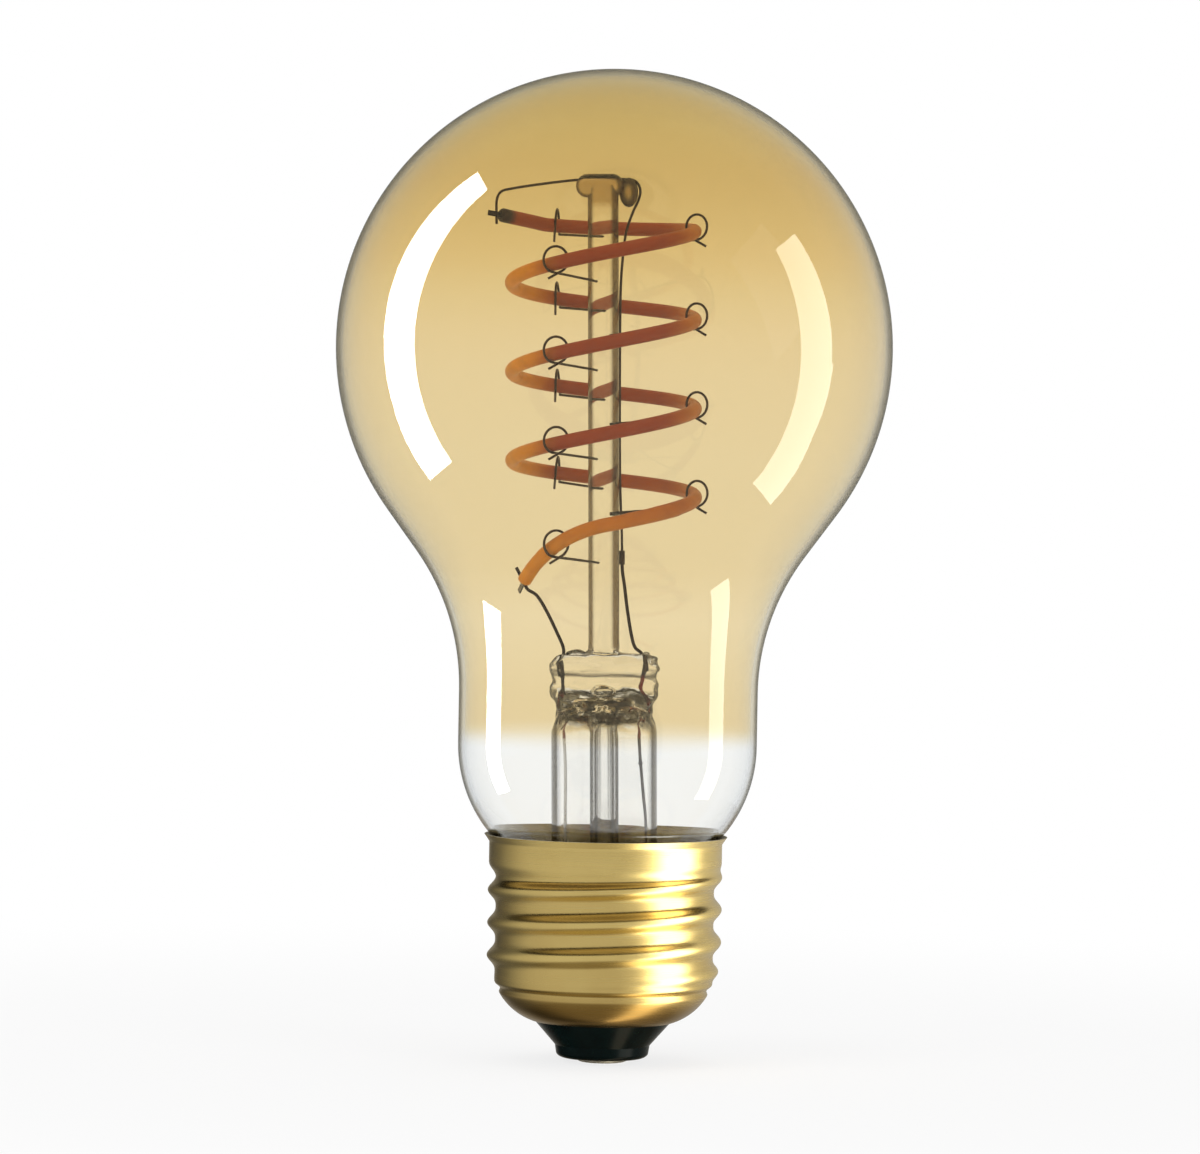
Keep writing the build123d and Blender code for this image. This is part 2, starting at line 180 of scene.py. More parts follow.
def amberGlassFinish():
    tint = {
        "coatEdge": (34.9 * mm, 37.6 * mm),  # clear below the first, coated above the second
        "crown": 112.0 * mm,
        "clear": (0.975, 0.98, 0.97),
        # share of the crown's height, and the colour seen through both walls
        "coat": (
            (0.00, (232, 210, 160)), (0.36, (233, 211, 161)), (0.44, (239, 219, 172)),
            (0.49, (235, 213, 162)), (0.60, (234, 212, 161)), (0.68, (233, 209, 156)),
            (0.72, (232, 206, 150)), (0.76, (228, 200, 138)), (0.80, (222, 189, 120)),
            (0.84, (214, 181, 110)), (0.88, (207, 173, 101)), (0.92, (204, 173, 100)),
            (0.96, (197, 167, 93)),
        ),
        # painted shade: how far the wall turns away from the eye, and how much darker that paints it; a
        # little of it is the longer path through the wall
        "outlineShade": (
            (0.45, (1.0, 1.0, 1.0)), (0.60, (0.88, 0.90, 0.92)), (0.70, (0.74, 0.78, 0.82)),
            (0.765, (0.60, 0.62, 0.62)), (0.80, (0.30, 0.29, 0.26)), (0.83, (0.17, 0.16, 0.13)),
            (0.89, (0.17, 0.16, 0.13)), (0.96, (0.34, 0.34, 0.32)),
        ),
    }
    material, shader, place = newMaterial("amberCoatedGlass")
    tree = material.node_tree
    height = axisValue(place, "Z")
    span = mathOf("DIVIDE", height, tint["crown"])
    coat = rampOf(span, [(share, wallTint(*colour)) for share, colour in tint["coat"]])
    wall = mixed(mapped(height, *tint["coatEdge"]), tint["clear"], coat)
    # painted shade: the outside is painted darker towards its outline, the inside isn't
    outlineShade = rampOf(facingOf(tree), tint["outlineShade"])
    outlineShade = mixed(insideOf(tree), outlineShade, (1.0, 1.0, 1.0))
    feedGlass(shader, mixed(1.0, wall, outlineShade, "MULTIPLY"))
    return material


def stemGlassFinish(name, tubeShadeStops):
    stem = {
        "clear": (0.985, 0.98, 0.965),
        # painted shade: dark colours painted along the outlines of the press, the tubes and the rod
        "edgeShade": (0.012, 0.009, 0.005),
        "rodEdgeShade": (0.05, 0.03, 0.012),
        "button": (0.62, 0.50, 0.33),
        # painted shade: the dark spots on the press
        "pressShade": (0.035, 0.030, 0.018),
        "pinch": (36.5 * mm, 38.5 * mm),
        "rod": (45.2 * mm, 46.4 * mm),
        "head": (94.6 * mm, 95.8 * mm),
        "pressShadeLow": (37.0 * mm, 38.2 * mm),
        "pressShadeHigh": (41.6 * mm, 40.9 * mm),
        "cordShadeLow": (42.75 * mm, 43.0 * mm),
        "cordShadeHigh": (43.6 * mm, 43.05 * mm),
        "cordShadeShare": 0.85,
        "spotScale": 750.0,
        "spotRange": (0.42, 0.56),
        "pressFacing": (0.20, 0.52),
        "rodFacing": (0.09, 0.30),
        "rodSideShade": 0.10,
    }
    material, shader, place = newMaterial(name)
    tree = material.node_tree
    height = axisValue(place, "Z")
    facing = facingOf(tree)
    onPress = mapped(height, *stem["pinch"])
    onRod = mapped(height, *stem["rod"])
    # painted shade: each piece is painted darker towards its outlines, by how far it turns from the eye
    tubeRimShade = rampOf(facing, [(stop, (share,) * 3) for stop, share in tubeShadeStops])
    tubeRimShade = mixed(insideOf(tree), tubeRimShade, (0.0, 0.0, 0.0))
    rimShade = mixed(onPress, tubeRimShade, mapped(facing, *stem["pressFacing"]))
    # painted shade: the rod is painted darker down its right side, away from the light on its left
    slope = math.tan(math.radians(stemSizes["lean"]))
    lean = mathOf("MULTIPLY", mathOf("SUBTRACT", height, stemFoot), slope)
    across = mathOf("ADD", axisValue(place, "X"), lean)
    side = mathOf("MULTIPLY", across, stem["rodSideShade"] / (stemSizes["rodRadius"] * mm))
    rodRimShade = mapped(mathOf("ADD", facing, side), *stem["rodFacing"])
    rimShade = mixed(onRod, rimShade, rodRimShade)
    edgeShade = mixed(onRod, stem["edgeShade"], stem["rodEdgeShade"])
    clear = mixed(mapped(height, *stem["head"]), stem["clear"], stem["button"])
    colour = mixed(rimShade, clear, edgeShade)
    # painted shade: dark spots painted over the pinched press, and a dark line painted across the press
    # along its cord ridge
    pressShadeZone = between(height, stem["pressShadeLow"], stem["pressShadeHigh"])
    shadeSpots = mapped(noiseOf(place, stem["spotScale"], detail=4.0), *stem["spotRange"])
    colour = mixed(mathOf("MULTIPLY", pressShadeZone, shadeSpots), colour, stem["pressShade"])
    cordShade = between(height, stem["cordShadeLow"], stem["cordShadeHigh"])
    cordShade = mathOf("MULTIPLY", cordShade, stem["cordShadeShare"])
    feedGlass(shader, mixed(cordShade, colour, stem["edgeShade"]))
    return material


def capBrassFinish(rootRadius, crestRadius):
    brass = {
        "bright": srgb(217, 194, 126),
        "dull": srgb(191, 162, 95),
        "grooveShade": srgb(130, 92, 43),
        # painted shade: the dark olive of the shell's inside
        "inside": srgb(112, 95, 44),
        "patchScale": 160.0,
        "patchRange": (0.35, 0.70),
        "patchShare": 0.25,
        "grooveShadeTop": 0.5,  # share of the thread's rise
        "grooveShadeShare": 0.12,
        "domeShadeShare": 0.55,
        "domeShadeFade": (6.0 * mm, 9.5 * mm),
        "spin": (60.0, 60.0, 2400.0),  # fine lines round the cap
        "rough": (0.22, 0.30),
    }
    material, shader, place = newMaterial("capBrass")
    crest = mapped(axisDistance(place), rootRadius, crestRadius)
    patches = noiseOf(place, brass["patchScale"], detail=4.0)
    sheet = mixed(mapped(patches, *brass["patchRange"]), brass["bright"], brass["dull"])
    sheet = mixed(brass["patchShare"], brass["bright"], sheet)
    # painted shade: the thread's grooves are painted darker brown
    grooveShade = mapped(crest, 0.0, brass["grooveShadeTop"], brass["grooveShadeShare"], 0.0)
    colour = mixed(grooveShade, sheet, brass["grooveShade"])
    # painted shade: the lower dome is painted darker brown towards its bottom
    domeShade = mapped(axisValue(place, "Z"), *brass["domeShadeFade"], brass["domeShadeShare"], 0.0)
    colour = mixed(domeShade, colour, brass["grooveShade"])
    spun = noiseOf(stretched(place, brass["spin"]), scale=1.0, detail=2.0)
    feed(shader, {
        # painted shade: the inside of the shell is painted dark olive
        "Base Color": mixed(insideOf(material.node_tree), colour, brass["inside"]),
        "Roughness": roughOf(spun, *brass["rough"]),
        "Metallic": 1.0,
    })
    return material


def insulatorFinish():
    material, shader, place = newMaterial("blackInsulatorGlass")
    clouds = noiseOf(place, scale=420.0, detail=3.0)
    feed(shader, {
        "Base Color": mixed(clouds, srgb(3, 10, 11), srgb(12, 32, 32)),
        "Roughness": roughOf(clouds, 0.10, 0.20),
        "Specular IOR Level": 0.06,
        "Normal": bumpOf(clouds, strength=0.05, distance=0.05 * mm),
    })
    return material


# a grain that sets the colour, the roughness and the bump together
def grainFinish(name, light, dark, scale, rough, metallic, detail, spread, bump, depth):
    material, shader, place = newMaterial(name)
    grain = noiseOf(place, scale, detail)
    feed(shader, {
        "Base Color": mixed(grain, srgb(*dark), srgb(*light)),
        "Roughness": roughOf(grain, rough - spread, rough + spread),
        "Metallic": metallic,
        "Normal": bumpOf(grain, bump, depth),
    })
    return material


def metalFinish(name, bright, dark, scale, rough, metallic=1.0):
    grain = {"detail": 4.0, "spread": 0.08, "bump": 0.12, "depth": 0.01 * mm}
    return grainFinish(name, bright, dark, scale, rough, metallic, **grain)


def plainFinish(name, light, dark, scale, rough, bump):
    grain = {"detail": 5.0, "spread": 0.06, "bump": bump, "depth": 0.05 * mm}
    return grainFinish(name, light, dark, scale, rough, 0.0, **grain)


# red oxide below the given height, scorched dark above it
def sealFinish(name, redTop):
    fade = 0.5
    material, shader, place = newMaterial(name)
    grain = noiseOf(place, scale=1400.0, detail=4.0)
    red = mixed(grain, srgb(92, 12, 8), srgb(140, 24, 14))
    scorched = mapped(axisValue(place, "Z"), (redTop - fade) * mm, (redTop + fade) * mm)
    feed(shader, {
        "Base Color": mixed(scorched, red, srgb(30, 20, 16)),
        "Roughness": roughOf(grain, 0.42, 0.58),
        "Metallic": 0.3,
    })
    return material


def filamentFinish(burntEnd):
    coat = {
        "front": srgb(156, 62, 20),
        "back": srgb(160, 70, 24),
        # painted light: the orange of the backlit glow
        "glow": srgb(232, 148, 26),
        "burnt": srgb(52, 36, 30),
        "streak": srgb(112, 46, 16),
        "streakRange": (0.3, 0.75),
        "streakShare": 0.22,
        "paintedBackLight": (-4 * mm, 6 * mm),
        "leftBend": (-5.5 * mm, -10.6 * mm),
        "leftTop": (92.6 * mm, 89.5 * mm),
        "rightBend": (5.0 * mm, 10.0 * mm),
        "rightShare": 0.5,
        "lowEnd": (67.0 * mm, 54.5 * mm),
        "burntReach": (2.2 * mm, 1.0 * mm),
    }
    material, shader, place = newMaterial("phosphorCoat")
    across, depth, height = (axisValue(place, axis) for axis in "XYZ")
    # painted light: the strands at the back of the coil are painted a little lighter than those at the front
    colour = mixed(mapped(depth, *coat["paintedBackLight"]), coat["front"], coat["back"])
    # painted light: the bends are painted a backlit orange glow, and the lower end the same orange, but not
    # the upper end
    leftBacklitGlow = mapped(across, *coat["leftBend"])
    leftBacklitGlow = mathOf("MULTIPLY", leftBacklitGlow, mapped(height, *coat["leftTop"]))
    rightBacklitGlow = mapped(across, *coat["rightBend"], 0.0, coat["rightShare"])
    lowGlow = mapped(height, *coat["lowEnd"])
    glow = mathOf("MAXIMUM", mathOf("MAXIMUM", leftBacklitGlow, rightBacklitGlow), lowGlow)
    colour = mixed(glow, colour, coat["glow"])
    streaks = noiseOf(place, scale=700.0, detail=4.0)
    streaked = mapped(streaks, *coat["streakRange"], 0.0, coat["streakShare"])
    colour = mixed(streaked, colour, coat["streak"])
    burnt = mapped(distanceOf(place, burntEnd), *coat["burntReach"])
    feed(shader, {
        "Base Color": mixed(burnt, colour, coat["burnt"]),
        "Subsurface Weight": 0.2,
        "Subsurface Radius": (1.0, 0.4, 0.15),
        "Subsurface Scale": 0.4 * mm,
        "Roughness": 0.45,
        "Specular IOR Level": 0.3,
        "Normal": bumpOf(streaks, strength=0.10, distance=0.04 * mm),
    })
    return material


# mesh helpers

def meshFromRings(name, rings, closed=False):
    verts = []
    starts = []
    for ring in rings:
        starts.append((len(verts), len(ring)))
        verts.extend(ring)
    faces = []
    pairs = list(zip(starts, starts[1:]))
    if closed:
        pairs.append((starts[-1], starts[0]))
    for (lowStart, lowCount), (highStart, highCount) in pairs:
        for i in range(max(lowCount, highCount)):
            j = i + 1
            face = [lowStart + i % lowCount, lowStart + j % lowCount]
            face += [highStart + j % highCount, highStart + i % highCount]
            faces.append(list(dict.fromkeys(face)))
    mesh = bpy.data.meshes.new(name)
    mesh.from_pydata(verts, [], faces)
    outward = bmesh.new()
    outward.from_mesh(mesh)
    bmesh.ops.recalc_face_normals(outward, faces=outward.faces)
    outward.to_mesh(mesh)
    outward.free()
    return mesh


def smooth(mesh, sharpAngle=40):
    mesh.shade_smooth()
    mesh.set_sharp_from_angle(angle=math.radians(sharpAngle))
    return mesh


poleRadius = 1e-7  # a ring smaller than this is one point


def ringAt(radius, height, segments):
    if radius < poleRadius:
        return [Vector((0.0, 0.0, height))]
    turns = [2 * math.pi * i / segments for i in range(segments)]
    return [Vector((radius * math.cos(a), radius * math.sin(a), height)) for a in turns]


def arcOf(middle, radius, start, sweep, steps):
    points = []
    for i in range(steps + 1):
        angle = math.radians(start + sweep * i / steps)
        points.append((middle[0] + radius * math.cos(angle), middle[1] + radius * math.sin(angle)))
    return points


def turnedMesh(name, outline, segments, closed=False):
    return meshFromRings(name, [ringAt(r * mm, z * mm, segments) for r, z in outline], closed)


def pathMesh(name, points, radii):
    mesh = bpy.data.meshes.new(name)
    mesh.from_pydata(points, [(i, i + 1) for i in range(len(points) - 1)], [])
    attribute = mesh.attributes.new("radius", "FLOAT", "POINT")
    attribute.data.foreach_set("value", radii)
    return mesh


def addObject(name, data):
    thing = bpy.data.objects.new(name, data)
    bpy.context.scene.collection.objects.link(thing)
    return thing


def dressPiece(piece, material, nodes):
    piece.data.materials.clear()
    piece.data.materials.append(material)
    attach(piece, "root")
    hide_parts(*nodes)
    return piece


def addPiece(name, mesh, material, nodes):
    return dressPiece(addObject(name, mesh), material, nodes)


# marks the points of the bore below the top, which look towards the axis
def markInside(mesh, top=math.inf):
    marks = mesh.attributes.new("inside", "FLOAT", "POINT")
    values = []
    for vert in mesh.vertices:
        inward = vert.normal.x * vert.co.x + vert.normal.y * vert.co.y < 0
        values.append(float(inward and vert.co.z < top))
    marks.data.foreach_set("value", values)


def letLightThrough(piece):
    piece.visible_shadow = False
    piece.visible_diffuse = False


# geometry node trees

def newTree(name, inputs):
    tree = bpy.data.node_groups.new(name, "GeometryNodeTree")
    tree.interface.new_socket("Geometry", in_out="INPUT", socket_type="NodeSocketGeometry")
    for label, kind in inputs.items():
        tree.interface.new_socket(label, in_out="INPUT", socket_type="NodeSocket" + kind)
    tree.interface.new_socket("Geometry", in_out="OUTPUT", socket_type="NodeSocketGeometry")
    return tree, addNode(tree, "NodeGroupInput").outputs


def namedValue(tree, name):
    node = addNode(tree, "GeometryNodeInputNamedAttribute", {"Name": name}, data_type="FLOAT")
    return node.outputs["Attribute"]


# rounds a line of points into a smooth tube, as thick as the points say
def tubeNodes(tree, geometry, given):
    curve = addNode(tree, "GeometryNodeMeshToCurve", {"Mesh": geometry}).outputs[0]
    spline = addNode(tree, "GeometryNodeCurveSplineType", {"Curve": curve}, spline_type="CATMULL_ROM")
    evenly = {"Curve": spline.outputs[0], "Length": given["Step"]}
    even = addNode(tree, "GeometryNodeResampleCurve", evenly, mode="LENGTH")
    circle = addNode(tree, "GeometryNodeCurvePrimitiveCircle", {"Resolution": given["Sides"], "Radius": 1.0})
    return addNode(tree, "GeometryNodeCurveToMesh", {
        "Curve": even.outputs[0],
        "Profile Curve": circle.outputs["Curve"],
        "Scale": namedValue(tree, "radius"),
        "Fill Caps": True,
    }).outputs["Mesh"]


def closeTree(tree, geometry, material):
    shade = addNode(tree, "GeometryNodeSetShadeSmooth", {"Geometry": geometry})
    real = addNode(tree, "GeometryNodeRealizeInstances", {"Geometry": shade.outputs[0]})
    paint = addNode(tree, "GeometryNodeSetMaterial", {"Geometry": real.outputs[0], "Material": material})
    addNode(tree, "NodeGroupOutput", {"Geometry": paint.outputs[0]})


def makeTubeTree():
    tree, given = newTree("wireAlongPath", {"Sides": "Int", "Step": "Float", "Finish": "Material"})
    closeTree(tree, tubeNodes(tree, given["Geometry"], given), given["Finish"])
    return tree


# puts the same hook on every point, turned by the point's own angle
def makeHookTree():
    tree, given = newTree("hooksOnCoil", {
        "Hook": "Object",
        "Sides": "Int",
        "Step": "Float",
        "Wobble": "Float",
        "Seed": "Int",
        "Finish": "Material",
    })
    hook = addNode(tree, "GeometryNodeObjectInfo", {"Object": given["Hook"]})
    wobble = given["Wobble"]
    limits = {2: mathOf("MULTIPLY", wobble, -1.0), 3: wobble, "Seed": given["Seed"]}
    lean = addNode(tree, "FunctionNodeRandomValue", limits, data_type="FLOAT").outputs[1]
    turn = addNode(tree, "ShaderNodeCombineXYZ", {"X": lean, "Z": namedValue(tree, "angle")})
    points = addNode(tree, "GeometryNodeMeshToPoints", {"Mesh": given["Geometry"]})
    copies = addNode(tree, "GeometryNodeInstanceOnPoints", {
        "Points": points.outputs[0],
        "Instance": tubeNodes(tree, hook.outputs["Geometry"], given),
        "Rotation": turn.outputs[0],
    })
    closeTree(tree, copies.outputs[0], given["Finish"])
    return tree


# runs a node tree on the mesh and keeps what it makes as a plain mesh
def runTree(name, mesh, tree, values):
    piece = addObject(name, mesh)
    modifier = piece.modifiers.new(tree.name, "NODES")
    modifier.node_group = tree
    sockets = {s.name: s.identifier for s in tree.interface.items_tree if s.in_out == "INPUT"}
    for label, value in values.items():
        modifier[sockets[label]] = value
    solved = piece.evaluated_get(bpy.context.evaluated_depsgraph_get())
    result = bpy.data.meshes.new_from_object(solved)
    piece.modifiers.remove(modifier)
    piece.data = result
    return piece


# glass bulb, turned from the same arcs as the solid

glassSizes = {
    "wall": 0.7,
    "shoulderAngle": 36.5,
    "shoulderStraight": 5.3,
    "neckRadius": 16.6,
    "neckLength": 6.0,
    "baseCurve": 15.5,
    "sealCurve": 3.0,
    "sealNeckRadius": 10.8,
    "sealNeckLength": 5.8,
    "globeSteps": 72,
    "shoulderSteps": 24,
    "baseSteps": 18,
    "sealSteps": 8,
    "segments": 224,
}


def bulbOutline(inset):
    g = glassSizes
    low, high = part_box("glass_bulb")
    bulbRadius = min(high.x, -low.x, high.y, -low.y) / mm
    bulbCentre = high.z / mm - bulbRadius
    sealTop = low.z / mm + g["sealNeckLength"]
    shoulderTurn = g["shoulderAngle"]
    shoulder = math.radians(shoulderTurn)
    drop = bulbRadius * math.cos(shoulder) - g["neckRadius"] - g["shoulderStraight"] * math.sin(shoulder)
    shoulderRadius = drop / (1 - math.cos(shoulder))
    curves = g["baseCurve"] + g["sealCurve"]
    baseTurn = math.acos(1 - (g["neckRadius"] - g["sealNeckRadius"]) / curves)
    neckBottom = sealTop + curves * math.sin(baseTurn)
    neckTop = neckBottom + g["neckLength"]
    turn = math.degrees(baseTurn)
    outline = arcOf((0, bulbCentre), bulbRadius - inset, 90, -90 - shoulderTurn, g["globeSteps"])
    middle = (g["neckRadius"] + shoulderRadius, neckTop)
    outline += arcOf(middle, shoulderRadius + inset, 180 - shoulderTurn, shoulderTurn, g["shoulderSteps"])
    middle = (g["neckRadius"] - g["baseCurve"], neckBottom)
    outline += arcOf(middle, g["baseCurve"] - inset, 0, -turn, g["baseSteps"])
    middle = (g["sealNeckRadius"] + g["sealCurve"], sealTop)
    outline += arcOf(middle, g["sealCurve"] + inset, 180 - turn, turn, g["sealSteps"])[1:]
    outline.append((g["sealNeckRadius"] - inset, low.z / mm))
    outline[0] = (0.0, outline[0][1])
    return outline


amberGlass = amberGlassFinish()
outside = bulbOutline(0.0)
inside = bulbOutline(glassSizes["wall"])
glassMesh = smooth(turnedMesh("glassBulb", outside + inside[::-1], glassSizes["segments"]))
markInside(glassMesh, glassMesh.vertices[0].co.z)
glassBulb = addPiece("glassBulb", glassMesh, amberGlass, ["glass_bulb"])
letLightThrough(glassBulb)
print("glass bulb blown:", len(glassMesh.polygons), "faces")

# cap shell, a sheet rolled into the knuckle thread, as level rings

capSizes = {
    "rootRadius": 12.13,
    "depth": 0.9,
    "crestPower": 1.5,
    "pitch": 3.629,
    "crest": 17.15,
    "start": 8.8,
    "end": 22.3,
    "fade": 2.0,
    "wall": 0.3,
    "collarRadius": 12.95,
    "collarLength": 2.1,
    "rimFlare": 0.55,
    "rimHeight": 0.8,
    "domeRadius": 6.6,
    "domeTop": -18.0,
    "domeLip": -73.0,
    "segments": 160,
    "ringStep": 0.11,
    "domeSteps": 36,
    "collarSteps": 8,
    "rimSteps": 6,
    "creaseHeight": 8.15,
    "creaseDepth": 0.38,
    "creaseReach": 0.6,
    "sharpAngle": 50,
}


def easeStep(value):
    share = min(max(value, 0.0), 1.0)
    return share * share * (3 - 2 * share)


# the thread runs out in a crease above the dome
def creaseAt(height):
    c = capSizes
    return c["creaseDepth"] * (1 - easeStep(abs(height - c["creaseHeight"]) / c["creaseReach"]))


# the middle of the dome's round, as radius and height
def domeMiddle():
    c = capSizes
    top = math.radians(c["domeTop"])
    return c["rootRadius"] - c["domeRadius"] * math.cos(top), c["start"] - c["domeRadius"] * math.sin(top)


# rows of radius, height and the rise of the thread, from the lip up to the rim
def capRings(inset):
    c = capSizes
    domeX, domeZ = domeMiddle()
    rings = []
    for i in range(c["domeSteps"]):
        angle = math.radians(c["domeLip"] + (c["domeTop"] - c["domeLip"]) * i / c["domeSteps"])
        reach = c["domeRadius"] - inset
        height = domeZ + reach * math.sin(angle)
        rings.append((domeX + reach * math.cos(angle) - creaseAt(height), height, 0.0))
    count = round((c["end"] - c["start"]) / c["ringStep"])
    for i in range(count):
        height = c["start"] + (c["end"] - c["start"]) * i / count
        merge = easeStep((height - c["end"] + c["fade"]) / c["fade"])
        rise = c["depth"] * easeStep((height - c["start"]) / c["fade"]) * (1 - merge)
        radius = c["rootRadius"] + (c["collarRadius"] - c["rootRadius"]) * merge - inset
        rings.append((radius - creaseAt(height), height, rise))
    collarTop = c["end"] + c["collarLength"]
    for i in range(c["collarSteps"] + 1):
        rings.append((c["collarRadius"] - inset, c["end"] + c["collarLength"] * i / c["collarSteps"], 0.0))
    for i in range(c["rimSteps"]):
        share = (i + 1) / c["rimSteps"]
        radius = c["collarRadius"] + c["rimFlare"] * share - inset
        rings.append((radius, collarTop + c["rimHeight"] * share, 0.0))
    return rings


# a level ring through the thread, with a crest a little narrower than its groove
def threadRing(radius, height, rise, segments):
    c = capSizes
    points = []
    for i in range(segments):
        angle = 2 * math.pi * i / segments
        turn = 2 * math.pi * (height - c["crest"]) / c["pitch"] - angle
        reach = radius + rise * ((1 + math.cos(turn)) / 2) ** c["crestPower"]
        points.append(Vector((reach * math.cos(angle), reach * math.sin(angle), height)) * mm)
    return points


def capMesh():
    rows = capRings(0.0) + capRings(capSizes["wall"])[::-1]
    segments = capSizes["segments"]
    rings = [threadRing(r, z, rise, segments) for r, z, rise in rows]
    return smooth(meshFromRings("capShell", rings, closed=True), capSizes["sharpAngle"])


crestRadius = capSizes["rootRadius"] + capSizes["depth"]
capBrass = capBrassFinish(capSizes["rootRadius"] * mm, crestRadius * mm)
capForm = capMesh()
markInside(capForm)
capShell = addPiece("capShell", capForm, capBrass, ["cap_shell"])
print("cap shell rolled:", len(capShell.data.polygons), "faces")

# insulator and contact, turned

insulatorSizes = {
    "bottom": 0.45,
    "footRadius": 4.1,
    "heelRadius": 5.15,
    "heelHeight": 1.1,
    "waistRadius": 5.28,
    "waistHeight": 1.9,
    "gap": 0.05,
    "flangeAngle": -33.0,
    "flangeSteps": 10,
    "heelSteps": 12,
    "sharpAngle": 30,
    "segments": 128,
}
contactSizes = {
    "radius": 2.9,
    "faceRadius": 2.2,
    "eyelet": 1.5,
    "bore": 0.6,
    "length": 2.5,
    "edgeSteps": 8,
    "sharpAngle": 30,
    "segments": 96,
}


# a quarter of an ellipse, level at its lower end and upright at its upper one
def heelArc(innerRadius, outerRadius, bottom, top, steps):
    points = []
    for i in range(steps + 1):
        turn = math.radians(90 * i / steps)
        radius = innerRadius + (outerRadius - innerRadius) * math.sin(turn)
        points.append((radius, bottom + (top - bottom) * (1 - math.cos(turn))))
    return points


def insulatorOutline():
    n = insulatorSizes
    c = capSizes
    lip = math.radians(c["domeLip"])
    domeX, domeZ = domeMiddle()
    coneRadius = domeX + (c["domeRadius"] - c["wall"]) * math.cos(lip) - 2 * n["gap"]
    lipHeight = domeZ + c["domeRadius"] * math.sin(lip)
    bed = c["domeRadius"] - c["wall"] - n["gap"]
    bore = contactSizes["eyelet"] + n["gap"]
    sweep = n["flangeAngle"] - c["domeLip"]
    flange = arcOf((domeX, domeZ), bed, c["domeLip"], sweep, n["flangeSteps"])
    outline = [(bore, n["bottom"])]
    outline += heelArc(n["footRadius"], n["heelRadius"], n["bottom"], n["heelHeight"], n["heelSteps"])
    outline += [(n["waistRadius"], n["waistHeight"]), (coneRadius, lipHeight), (coneRadius, flange[0][1])]
    outline += flange
    outline.append((bore, flange[-1][1]))
    return outline


def contactOutline():
    k = contactSizes
    bottom = insulatorSizes["bottom"]
    top = bottom + k["length"]
    outline = [(0.0, 0.0)] + heelArc(k["faceRadius"], k["radius"], 0.0, bottom, k["edgeSteps"])
    outline += [(k["eyelet"], bottom), (k["eyelet"], top)]
    outline += [(k["bore"], top), (k["bore"], bottom), (0.0, bottom)]
    return outline


insulatorMesh = turnedMesh("capInsulator", insulatorOutline(), insulatorSizes["segments"], closed=True)
smooth(insulatorMesh, insulatorSizes["sharpAngle"])
addPiece("capInsulator", insulatorMesh, insulatorFinish(), ["cap_insulator"])
contactFinish = metalFinish(
    "contactMetal", (232, 232, 228), (204, 204, 198), scale=900.0, rough=0.4, metallic=0.5
)
contactMesh = turnedMesh("centreContact", contactOutline(), contactSizes["segments"])
smooth(contactMesh, contactSizes["sharpAngle"])
addPiece("centreContact", contactMesh, contactFinish, ["centre_contact"])
print("insulator and contact turned")

# stem glass: flare, press and rod are one piece of fused glass

stemSizes = {
    "lean": 1.1,
    "footRadius": 9.85,
    "tubeRadius": 5.9,
    "wall": 0.9,
    "flareAngle": 60.0,
    "pressBottom": 36.3,
    "waist": (39.2, 10.7, 6.4),
    "flat": (41.4, 11.9, 3.8),
    "slabBottom": 42.7,
    "cordRidge": ((43.6, 0.25), (43.0, -0.15)),  # height, and what it adds to the depth
    "pressTop": 45.4,
    "round": 1.3,
    "shoulder": (45.45, 0.75, 2.6),  # height, share of the top's width, depth
    # height, and shares of the rod's width and depth
    "rodFillet": ((47.0, 1.0, 1.0), (45.9, 1.03, 0.98), (45.55, 1.25, 0.9)),
    "slotCorner": 0.4,
    "hollowWaist": (38.6, 8.9, 4.9),
    "hollowEnd": (39.7, 6.4, 2.2),
    "rodRadius": 1.72,
    "rodTop": 97.35,
    "rodRings": 100,
    "rodRingStep": 0.5,
    "roundSteps": 8,
    "tubeSteps": 8,
    "flareSteps": 14,
    "blendSteps": 10,
    "filletSteps": 5,
    "ridgeSteps": 4,
    "hollowTip": 0.1,
    "sharpAngle": 55,
    "segments": 96,
    "rippleSeed": 8,
    "ripple": 0.42,
    "rippleScale": 900.0,
    "rippleUpright": 0.5,
    "rippleLow": (36.5, 2.5),  # where the lumps start and end, and over what length
    "rippleHigh": (45.6, 0.8),
    "bubble": ((0, 0, 41.1), (1.5, 1.2, 1.0)),
    "lumpSegments": 32,
    "bubbleSegments": 40,
    "lumps": (
        ((-3.0, 0.0, 45.15), (1.15, 1.3, 0.85)),
        ((4.55, 0.1, 45.25), (0.55, 0.8, 0.55)),
        ((5.25, -0.2, 44.75), (0.6, 0.8, 0.5)),
        ((5.65, 0.1, 43.8), (0.45, 0.8, 0.6)),
        ((5.45, 0.0, 42.5), (0.45, 0.8, 0.5)),
    ),
}
buttonSizes = {
    "height": 97.35,
    "radius": 1.33,
    "left": -1.7,
    "right": 1.0,
    "lobe": (2.85, 0, 96.6),
    "lobeHalf": (1.05, 1.05, 1.65),
    "arcSteps": 16,
    "segments": 64,
}
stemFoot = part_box("glass_bulb")[0].z
stemLean = (
    Matrix.Translation((0, 0, stemFoot))
    @ Matrix.Rotation(math.radians(-stemSizes["lean"]), 4, "Y")
    @ Matrix.Translation((0, 0, -stemFoot))
)


# a ring that goes from round to a flat slot as its depth falls below its width
def slotRing(height, width, depth, segments):
    flat = (width - depth) / 2
    points = []
    for i in range(segments):
        angle = 2 * math.pi * i / segments
        side = max(-1.0, min(1.0, math.cos(angle) / stemSizes["slotCorner"]))
        across = flat * side + depth / 2 * math.cos(angle)
        points.append(Vector((across, depth / 2 * math.sin(angle), height)) * mm)
    return points


